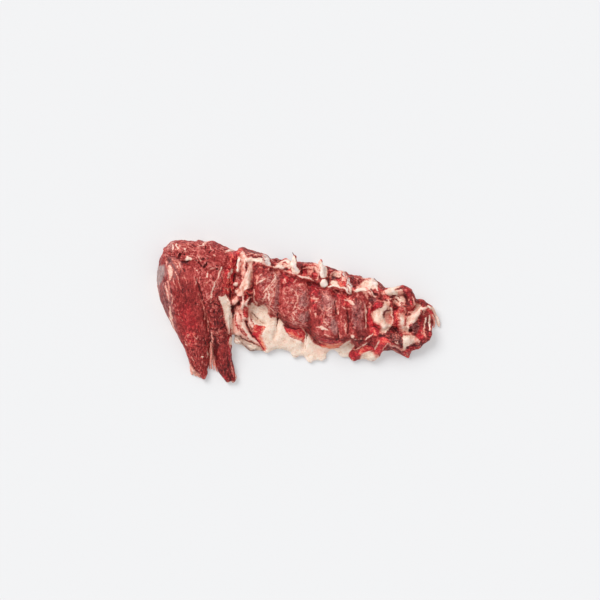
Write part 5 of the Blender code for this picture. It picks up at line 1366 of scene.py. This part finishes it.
# Plan places whose surroundings are drawn out, how far around, and how they move
PULLS = [
    ((-9, 117), 10, (-3, 0)),
    ((-112, 129), 11, (0, -1.5)),
    ((-102, 125), 11, (0, -2)),
    ((-56, 111), 13, (-1, -5)),
    ((-25, 101), 12, (0, 6)),
    ((24, 97), 14, (0, 2.5)),
    ((46, 100), 10, (2, 3)),
    ((94, 77), 10, (1, 3)),
    ((188, 48), 13, (0, -2)),
    ((229, 38), 9, (-1.5, -1)),
    ((238, 24), 13, (-0.5, -2.5)),
    ((252, 18), 11, (-1, -2)),
    ((251, -68), 15, (-1.5, 2)),
    ((-126, -62), 13, (-4, -4)),
    ((-130, -134), 14, (4, 0)),
    ((-184, -124), 8, (3, -2)),
    ((-222, -118), 14, (3, 0)),
    ((-64, -80), 8, (0, -3)),
    ((-10, -91), 13, (0, -3)),
    ((16, -99), 9, (0, -4)),
    ((46, -98), 8, (0, -2.5)),
    ((58, -90), 7, (-2.5, 0)),
    ((110, -97), 14, (0, -2)),
    ((146, -98), 14, (0, -2)),
    ((162, -88), 11, (2, -3)),
    ((176, -79), 9, (0, -2)),
    ((218, -92), 8, (2, -2.5)),
    ((-194, -130), 16, (3, -5)),
    ((-142, -140), 12, (-2, -3)),
    ((-131, -142), 12, (-1, -3)),
    ((-137, -146), 6, (0, 4)),
]


def pulled(places):
    """The places with those near each of PULLS moved along with it."""
    moved = places.copy()
    for middle, reach, way in PULLS:
        share = smoothstep(np.linalg.norm(moved[:, :2] - middle, axis=1), reach, 0)
        moved[:, :2] += share[:, None] * way
    return moved


FILL_ROUNDS = 50
HOLLOW_ROUNDS = 6
RESTING = (0.5, 8)  # heights between which the surface comes free of the table
UPWARD = (-0.1, 0.4)  # how far up a face looks, between which the marks begin to raise it


def dressed_skin():
    """The whole joint's surface with its relief, and its channels as attributes."""
    mesh = fine_skin("beef")
    places = pulled(read_vectors(mesh.vertices, "co") / MM)
    normals = read_vectors(mesh.vertices, "normal")
    value, rise = marked(warped(places), MARKS)
    fibres = fibre_places(places)
    outer_walls(places, normals, value)
    free = smoothstep(places[:, 2], *RESTING)
    depth = evened(mesh, places, FILL_ROUNDS)[:, 2] - places[:, 2]
    places[:, 2] += value.pop("fill") * np.clip(depth, 0, None) * free
    places -= normals * value.pop("slim")[:, None]
    places[:, 2] += value.pop("lift") * free
    upward = smoothstep(normals[:, 2], *UPWARD)
    rise = rise * upward + relief(places, fibres, value["fat"], value["grit"])
    places += normals * (rise * free)[:, None]
    places[:, 2] = np.maximum(places[:, 2], 0)
    set_places(mesh, places)
    # how far each place lies down in a hollow; the material paints shade into hollows and light onto
    # ridges with it
    depth = evened(mesh, places, HOLLOW_ROUNDS) - places
    value["hollow"] = np.einsum("ij,ij->i", depth, read_vectors(mesh.vertices, "normal"))
    set_channels(mesh, value, fibres)
    return mesh


# ---------------------------------------------------------------- loose strips

Strip = namedtuple("Strip", "path widths flatness kind blush")
RING = 10
STRIP_SWELL = 0.25
STRIP_WOBBLE = 0.4
STRIP_LOWEST = 0.2
STRIP_LOOK = dict(tone=0.4, grit=0.3)

HEAD_STRIPS = [
    Strip([(-176, -34, 34), (-177, -60, 27), (-175, -84, 19), (-177, -102, 12), (-175, -116, 6)],
          (0.8, 1.2, 1.8, 2.4, 1.4), 0.6, "fat", 0.85),
    Strip([(-174, -50, 24), (-172, -76, 15), (-171, -98, 9), (-167, -112, 6), (-164, -122, 3)],
          (1.2, 2.6, 3.0, 2.6, 0.7), 0.5, "fat", 1.0),
    Strip([(-179, -60, 22), (-180, -84, 13), (-179, -104, 7), (-180, -117, 4)],
          (1.2, 2.4, 2.6, 0.8), 0.5, "fat", 0.9),
    Strip([(-173, -70, 20), (-174, -90, 14), (-172, -106, 8), (-170, -119, 3)],
          (0.8, 1.6, 1.4, 0.6), 0.8, "fat", 0.75),
    Strip([(-215, -104, 11), (-216, -112, 7), (-215, -120, 4), (-214, -128, 2)],
          (2.0, 3.2, 3.4, 2.0), 0.5, "fat", 0.7),
    Strip([(-211, -114, 9), (-210, -122, 5), (-207, -130, 2)], (3.0, 4.0, 2.0), 0.4, "fat", 0.55),
    Strip([(-206, -122, 8), (-202, -129, 4), (-197, -134, 2)], (2.4, 3.0, 1.0), 0.4, "fat", 0.8),
]
LEDGE_STRIPS = [
    Strip([(150, 65, 27), (156, 59, 29), (164, 50, 32), (172, 44.5, 38)], (0.7, 0.5, 0.5, 0.7),
          1.0, "dark", 0.5),
]
NECK_STRIPS = [
    Strip([(262, 10, 24), (268, 4, 20), (272, -6, 12), (277, -18, 6), (280, -31, 3)],
          (2.0, 2.6, 3.0, 3.4, 1.6), 0.6, "fat", 0.3),
    Strip([(267, -7, 19), (270, -16, 13), (271, -25, 7), (270, -34, 3)], (1.4, 2.4, 2.2, 1.0),
          0.6, "fat", 0.9),
]
STRIPS = {"head_strips": HEAD_STRIPS, "ledge_strips": LEDGE_STRIPS, "neck_strips": NECK_STRIPS}


def strip_rings(strip):
    """The strip's rings of points, and for each point its place along and across it."""
    path = smooth_path(strip.path, closed=False)
    share = np.linspace(0, 1, len(path))
    half = np.interp(share, np.linspace(0, 1, len(strip.widths)), strip.widths)
    half *= 1 + STRIP_SWELL * lumps(path, 9.0)
    along = np.gradient(path, axis=0)
    side = np.cross(along, (0, 0, 1))
    side /= np.linalg.norm(side, axis=1)[:, None]
    over = np.cross(side, along)
    over /= np.linalg.norm(over, axis=1)[:, None]
    turn = np.linspace(0, 2 * np.pi, RING, endpoint=False)
    flat, tall = np.cos(turn), strip.flatness * np.sin(turn)
    rings = path[:, None] + half[:, None, None] * (
        side[:, None] * flat[:, None] + over[:, None] * tall[:, None]
    )
    fibres = np.stack(np.broadcast_arrays(
        half[:, None] * flat, PATH_STEP * np.arange(len(path))[:, None], path[:, 2:]), axis=2)
    return rings, fibres


def strips_mesh(name, strips):
    """One mesh of all the strips, with the same attributes as the joint's surface."""
    places, fibres, faces = [], [], []
    value = {channel: [] for channel in (*CHANNELS, "hollow")}
    for strip in strips:
        rings, runs = strip_rings(strip)
        start = sum(map(len, places))
        places.append(rings.reshape(-1, 3))
        fibres.append(runs.reshape(-1, 3))
        count = len(rings)
        for i in range(count - 1):
            for j in range(RING):
                a, b = start + i * RING + j, start + i * RING + (j + 1) % RING
                faces.append((a, a + RING, b + RING, b))
        faces.append(tuple(start + j for j in range(RING)))
        faces.append(tuple(start + (count - 1) * RING + j for j in reversed(range(RING))))
        look = {**STRIP_LOOK, "blush": strip.blush, strip.kind: 1.0}
        for channel, numbers in value.items():
            numbers += [look.get(channel, 0.0)] * (count * RING)
    places = np.concatenate(places)
    wobble = [lumps(places, 5.0, 2, shift) for shift in (0, 20, 40)]
    places += STRIP_WOBBLE * np.stack(wobble, axis=1)
    places[:, 2] = np.maximum(places[:, 2], STRIP_LOWEST)
    mesh = bpy.data.meshes.new(name)
    mesh.from_pydata((places * MM).tolist(), [], faces)
    mesh.shade_smooth()
    set_channels(mesh, value, np.concatenate(fibres))
    return mesh


# Plan lines across the joint where its surface is divided into pieces
PIECES = {"head": (-400, -128), "slab": (-128, 141), "neck": (141, 400)}


def divided(mesh):
    """One mesh for each of PIECES, shaded across the cuts as if they were still one."""
    normals = read_vectors(mesh.vertices, "normal")
    kept = mesh.attributes.new("whole_normal", "FLOAT_VECTOR", "POINT")
    kept.data.foreach_set("vector", normals.ravel())
    across = read_vectors(mesh.polygons, "center")[:, 0] / MM
    made = {}
    for name, (low, high) in PIECES.items():
        part = mesh.copy()
        keep_only(part, (across >= low) & (across < high))
        normals = read_vectors(part.attributes["whole_normal"].data, "vector")
        part.attributes.remove(part.attributes["whole_normal"])
        part.shade_smooth()
        part.normals_split_custom_set_from_vertices(normals)
        made[name] = part
    return made


def keep_only(mesh, wanted):
    """Deletes the faces that aren't wanted, and the vertices that only they used."""
    bm = bmesh.new()
    bm.from_mesh(mesh)
    bm.faces.ensure_lookup_table()
    extra = [face for face, kept in zip(bm.faces, wanted) if not kept]
    bmesh.ops.delete(bm, geom=extra, context="FACES")
    bm.to_mesh(mesh)
    bm.free()


# ---------------------------------------------------------------- the material


def linear(red, green, blue):
    """A colour given in 0 to 255 as a screen shows it, as the shader wants it."""
    parts = np.array([red, green, blue]) / 255
    parts = np.where(parts <= 0.04045, parts / 12.92, ((parts + 0.055) / 1.055) ** 2.4)
    return (*map(float, parts), 1.0)


class Shader:
    """Short names for making and joining shader nodes."""

    def __init__(self, name):
        self.material = bpy.data.materials.new(name)
        self.material.use_nodes = True
        self.tree = self.material.node_tree
        self.main = self.tree.nodes["Principled BSDF"]

    def look(self, values):
        """Sets the main shader's own sockets by name."""
        for name, value in values.items():
            self.main.inputs[name].default_value = value

    def put(self, socket, value):
        """Joins an output to the socket, or sets the socket's own value."""
        if isinstance(value, bpy.types.NodeSocket):
            self.tree.links.new(value, socket)
        else:
            socket.default_value = value

    def attribute(self, name, output="Fac"):
        node = self.tree.nodes.new("ShaderNodeAttribute")
        node.attribute_name = name
        return node.outputs[output]

    def place(self):
        return self.tree.nodes.new("ShaderNodeTexCoord").outputs["Object"]

    def math(self, operation, a, b=0.0, c=0.0, clamp=False):
        node = self.tree.nodes.new("ShaderNodeMath")
        node.operation = operation
        node.use_clamp = clamp
        for socket, value in zip(node.inputs, (a, b, c)):
            self.put(socket, value)
        return node.outputs[0]

    def total(self, *parts):
        """The sum of values, each of which may be a pair: a value and its weight."""
        made = 0.0
        for part in parts:
            value, weight = part if isinstance(part, tuple) else (part, 1.0)
            made = self.math("MULTIPLY_ADD", value, weight, made)
        return made

    def times(self, *parts):
        made = parts[0]
        for part in parts[1:]:
            made = self.math("MULTIPLY", made, part)
        return made

    def vector(self, operation, a, b):
        node = self.tree.nodes.new("ShaderNodeVectorMath")
        node.operation = operation
        self.put(node.inputs[0], a)
        self.put(node.inputs[1], b)
        return node.outputs[0]

    def drawn(self, fibre, stretch):
        """Places in which noise comes out that many times as long as it is wide."""
        return self.vector("DIVIDE", fibre, (1.0, stretch, 1.0))

    def noise(self, where, size, detail, rough):
        node = self.tree.nodes.new("ShaderNodeTexNoise")
        self.put(node.inputs["Vector"], where)
        self.put(node.inputs["Scale"], 1 / (size * MM))
        self.put(node.inputs["Detail"], detail)
        self.put(node.inputs["Roughness"], rough)
        return node

    def swing(self, where, size, detail=3.0, rough=0.6):
        """Noise from about -1 to 1 with lumps of about that size, in millimetres."""
        noise = self.noise(where, size, detail, rough)
        return self.math("MULTIPLY_ADD", noise.outputs["Fac"], 4.4, -2.2)

    def stirred(self, where, size, reach):
        """The places pushed about by noise, by up to about reach millimetres."""
        push = self.vector("SUBTRACT", self.noise(where, size, 2.0, 0.5).outputs["Color"],
                           (0.5, 0.5, 0.5))
        reach = (4 * reach * MM,) * 3
        return self.vector("ADD", where, self.vector("MULTIPLY", push, reach))

    def cells(self, where, size):
        """How far each place is from the border between cells of that size."""
        node = self.tree.nodes.new("ShaderNodeTexVoronoi")
        node.feature = "DISTANCE_TO_EDGE"
        self.put(node.inputs["Vector"], where)
        self.put(node.inputs["Scale"], 1 / (size * MM))
        return node.outputs["Distance"]

    def step(self, value, low, high, out_low=0.0, out_high=1.0):
        """Rises smoothly from out_low to out_high as value goes from low to high."""
        node = self.tree.nodes.new("ShaderNodeMapRange")
        node.interpolation_type = "SMOOTHSTEP"
        for socket, number in zip(node.inputs, (value, low, high, out_low, out_high)):
            self.put(socket, number)
        return node.outputs[0]

    def mix(self, share, a, b):
        node = self.tree.nodes.new("ShaderNodeMix")
        node.data_type = "RGBA"
        self.put(node.inputs["Factor"], share)
        self.put(node.inputs[6], a)
        self.put(node.inputs[7], b)
        return node.outputs[2]

    def ramp(self, value, *stops):
        """Colours blended between stops: a value, and the red, green and blue there."""
        node = self.tree.nodes.new("ShaderNodeValToRGB")
        ends = node.color_ramp.elements
        while len(ends) < len(stops):
            ends.new(0.5)
        for element, (place, *colour) in zip(ends, stops):
            element.position = place
            element.color = linear(*colour)
        self.put(node.inputs["Fac"], value)
        return node.outputs["Color"]


MEAT_LOOK = {
    "Specular IOR Level": 0.3,
    "Subsurface Weight": 0.10,
    "Subsurface Radius": (1.0, 0.3, 0.2),
    "Subsurface Scale": 2 * MM,
}
BUMP_STRENGTH = 0.8
BUMP_DISTANCE = 1.2 * MM


def meat_material():
    """Lean, marbling, film, fat and cartilage, laid over each other by the channels."""
    s = Shader("meat")
    place = s.place()
    fibre = s.attribute("fibre", "Vector")
    dash = s.drawn(fibre, 4.5)
    strand = s.drawn(fibre, 10.0)
    fat, blush, fresh, deep, film, bone, web, tone, grit = map(s.attribute, CHANNELS)
    hollow = s.attribute("hollow")
    smooth = s.math("SUBTRACT", 1.0, grit, clamp=True)

    broad = s.swing(place, 24.0, 2.0)
    blotch = s.swing(place, 8.0)
    grains = s.swing(place, 3.2, 3.0, 0.75)
    specks = s.swing(place, 2.2, 1.0, 0.6)
    dashes = s.swing(dash, 3.2, 2.0, 0.6)
    bundles = s.swing(dash, 8.0, 2.0, 0.6)
    strands = s.swing(strand, 2.6, 2.0, 0.5)

    # lean, from dark to pale: fibres where it is smooth, grains where it is torn
    texture = s.total((s.times(grains, s.total(0.06, (grit, 0.30))), 1.0),
                      (s.times(strands, smooth), 0.20),
                      (s.times(dashes, s.total((grit, 0.16), 0.17)), 1.0), (bundles, 0.11),
                      (specks, 0.18))
    # the hollow channel darkens hollows and pales ridges: painted shade and painted light
    shade = s.total(tone, texture, (broad, 0.07), (blotch, 0.06), (hollow, -0.35))
    colour = s.ramp(shade, (0.0, 70, 7, 9), (0.25, 120, 21, 21), (0.5, 157, 42, 39),
                    (0.75, 190, 77, 72), (1.0, 227, 141, 131))

    # fresh red, wet and a little orange where it is palest
    red = s.ramp(shade, (0.0, 130, 10, 20), (0.35, 190, 28, 42), (0.62, 226, 68, 68),
                 (1.0, 252, 158, 122))
    ripe = s.step(s.total(fresh, (blotch, 0.22), (grains, 0.12)), 0.15, 0.85)
    colour = s.mix(ripe, colour, red)

    # pale pink mottling where the meat is torn
    mottle = s.step(s.total(blotch, (grains, 0.35), (broad, 0.5)), 0.25, 0.95)
    colour = s.mix(s.times(mottle, s.step(grit, 0.5, 0.9), 0.50), colour,
                   linear(214, 118, 104))

    # silvery film over the lean
    veil = s.step(s.total(film, (blotch, 0.30), (dashes, 0.28)), 0.20, 1.20)
    thick = s.step(film, 0.9, 1.3)
    silver = s.mix(thick, s.ramp(shade, (0.0, 142, 98, 98), (1.0, 208, 170, 162)),
                   s.ramp(shade, (0.0, 136, 114, 112), (1.0, 192, 172, 168)))
    colour = s.mix(s.times(veil, s.total((thick, 0.35), 0.50)), colour, silver)

    # marbling: branching threads, and flecks along the fibres
    bent = s.stirred(s.stirred(place, 14.0, 3.0), 5.0, 1.6)
    thread = s.step(s.total(s.cells(bent, 8.0), (grains, 0.03)), 0.10, 0.03)
    thread = s.times(thread, s.step(blotch, -0.3, 0.4))
    flecks = s.swing(s.drawn(fibre, 2.2), 2.4, 2.0, 0.6)
    fleck = s.step(s.total(flecks, (blotch, 0.55)), 0.40, 0.85)
    marbling = s.math("MAXIMUM", s.times(thread, 0.8), fleck)
    colour = s.mix(s.times(marbling, web, 0.85), colour, linear(230, 168, 156))
    stray = s.step(s.total(dashes, (grains, 0.5), (grit, 0.35)), 0.75, 1.15)
    colour = s.mix(s.times(stray, 0.65), colour, linear(218, 146, 132))

    # fat, whose edge lets the red through before it is whole
    ragged = s.times(grains, s.total(0.10, (grit, 0.20)))
    edge = s.total(fat, ragged, (specks, 0.07), (dashes, 0.12), (blotch, 0.13))
    # fat darker in hollows and paler on ridges: painted shade and painted light
    cream = s.ramp(s.total(0.3, (tone, 0.5), (blotch, 0.26), (grains, 0.14), (specks, 0.24),
                           (hollow, -0.9)),
                   (0.0, 206, 160, 138), (0.5, 232, 204, 184), (1.0, 243, 225, 210))
    pink = s.ramp(s.total(0.3, (tone, 0.5), (blotch, 0.26), (grains, 0.20), (specks, 0.20),
                          (hollow, -0.9)),
                  (0.0, 196, 86, 74), (0.5, 226, 140, 124), (1.0, 243, 190, 174))
    stained = s.step(s.total(blush, (blotch, 0.16), (grains, 0.10)), 0.05, 0.95)
    suet = s.mix(stained, cream, pink)
    veined = s.step(s.total(blotch, (grains, 0.8), (dashes, 0.4)), 0.0, 1.0)
    suet = s.mix(s.times(veined, s.step(grit, 0.40, 0.75), 0.50), suet, linear(216, 136, 118))
    rim = s.mix(s.times(ripe, s.step(tone, 0.6, 0.95)), linear(214, 106, 92),
                linear(250, 166, 132))
    colour = s.mix(s.times(s.step(edge, 0.08, 0.50), 0.70), colour, rim)
    whole = s.times(s.step(edge, 0.42, 0.60), s.step(edge, 0.45, 0.95, 0.62, 1.0))
    colour = s.mix(whole, colour, suet)

    # cartilage
    stump = s.step(s.total(bone, (grains, 0.12), (blotch, 0.12)), 0.35, 0.65)
    # cartilage darker in hollows and paler on ridges: painted shade and painted light
    grey = s.ramp(s.total(0.5, (blotch, 0.35), (specks, 0.15), (hollow, -0.6)),
                  (0.0, 180, 138, 130), (0.5, 212, 186, 177), (1.0, 230, 213, 206))
    colour = s.mix(stump, colour, grey)

    # painted shade in clefts, deep places and hollows, and darker dried meat
    shade_and_dried = s.step(s.total(deep, (grains, 0.14), (blotch, 0.12), (hollow, 0.25)), 0.15, 0.9)
    colour = s.mix(s.times(shade_and_dried, 0.88), colour,
                   s.mix(whole, linear(78, 5, 8), linear(128, 80, 68)))

    s.put(s.main.inputs["Base Color"], colour)
    wet = s.mix(ripe, (0.44, 0.44, 0.44, 1), (0.30, 0.30, 0.30, 1))
    gloss = s.mix(whole, wet, (0.50, 0.50, 0.50, 1))
    s.put(s.main.inputs["Roughness"], s.total(gloss, (grains, 0.05)))
    s.look(MEAT_LOOK)

    lean = s.math("SUBTRACT", 1.0, whole)
    height = s.total((s.times(texture, lean), 1.6), (whole, 0.35), (grains, 0.06))
    bump = s.tree.nodes.new("ShaderNodeBump")
    bump.inputs["Strength"].default_value = BUMP_STRENGTH
    bump.inputs["Distance"].default_value = BUMP_DISTANCE
    s.put(bump.inputs["Height"], height)
    s.put(s.main.inputs["Normal"], bump.outputs["Normal"])
    return s.material


# ---------------------------------------------------------------- the joint


def add_piece(name, mesh, material):
    """A piece of the joint, riding on its one body."""
    piece = bpy.data.objects.new(name, mesh)
    bpy.context.scene.collection.objects.link(piece)
    mesh.materials.clear()
    mesh.materials.append(material)
    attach(piece, "root")
    return piece


def add_joint():
    meat = meat_material()
    pieces = divided(dressed_skin())
    for name, strips in STRIPS.items():
        pieces[name] = strips_mesh(name, strips)
    for name, mesh in pieces.items():
        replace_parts(add_piece(name, mesh, meat), "beef")


# ---------------------------------------------------------------- the studio

PIXEL = 2.0 * MM
PHOTO_SIZE = 600
PHOTO_MIDDLE = (2 * MM, 22 * MM)
FOCUS_HEIGHT = 20 * MM
LENS = 200.0
SENSOR = 36.0
TABLE_SIZE = 12
TABLE_HEIGHT = -0.4 * MM
TABLE_LOOK = {
    "Base Color": (0.52, 0.52, 0.525, 1),
    "Emission Color": (0.97, 0.985, 1, 1),
    "Emission Strength": 0.27,
    "Roughness": 0.9,
    "Specular IOR Level": 0.1,
}
SUN_STRENGTH = 2.45
SUN_SPREAD = 35  # degrees
SUN_SIDE = (-0.55, 0.65, 0.85)
ROOM_LIGHT = 0.67


def add_camera():
    """Looks straight down, with a photo's pixel covering PIXEL at FOCUS_HEIGHT."""
    camera = bpy.data.objects.new("camera", bpy.data.cameras.new("camera"))
    bpy.context.scene.collection.objects.link(camera)
    camera.data.lens = LENS
    camera.data.sensor_width = SENSOR
    above = PIXEL * PHOTO_SIZE * LENS / SENSOR
    camera.location = (*PHOTO_MIDDLE, FOCUS_HEIGHT + above)
    bpy.context.scene.camera = camera


def add_studio():
    """A softly lit pale table under a soft light from the upper left, in a white room."""
    bpy.ops.mesh.primitive_plane_add(size=TABLE_SIZE, location=(0, 0, TABLE_HEIGHT))
    table = bpy.context.object
    table.name = "table"
    paint = Shader("table")
    paint.look(TABLE_LOOK)
    table.data.materials.append(paint.material)

    sun = bpy.data.objects.new("sun", bpy.data.lights.new("sun", "SUN"))
    bpy.context.scene.collection.objects.link(sun)
    sun.data.energy = SUN_STRENGTH
    sun.data.angle = np.radians(SUN_SPREAD)
    sun.rotation_euler = Vector(SUN_SIDE).to_track_quat("Z", "Y").to_euler()

    world = bpy.data.worlds.new("room")
    world.use_nodes = True
    background = world.node_tree.nodes["Background"]
    background.inputs["Color"].default_value = (1, 1, 1, 1)
    background.inputs["Strength"].default_value = ROOM_LIGHT
    bpy.context.scene.world = world
    bpy.context.scene.view_settings.view_transform = "Standard"


add_joint()
add_camera()
add_studio()
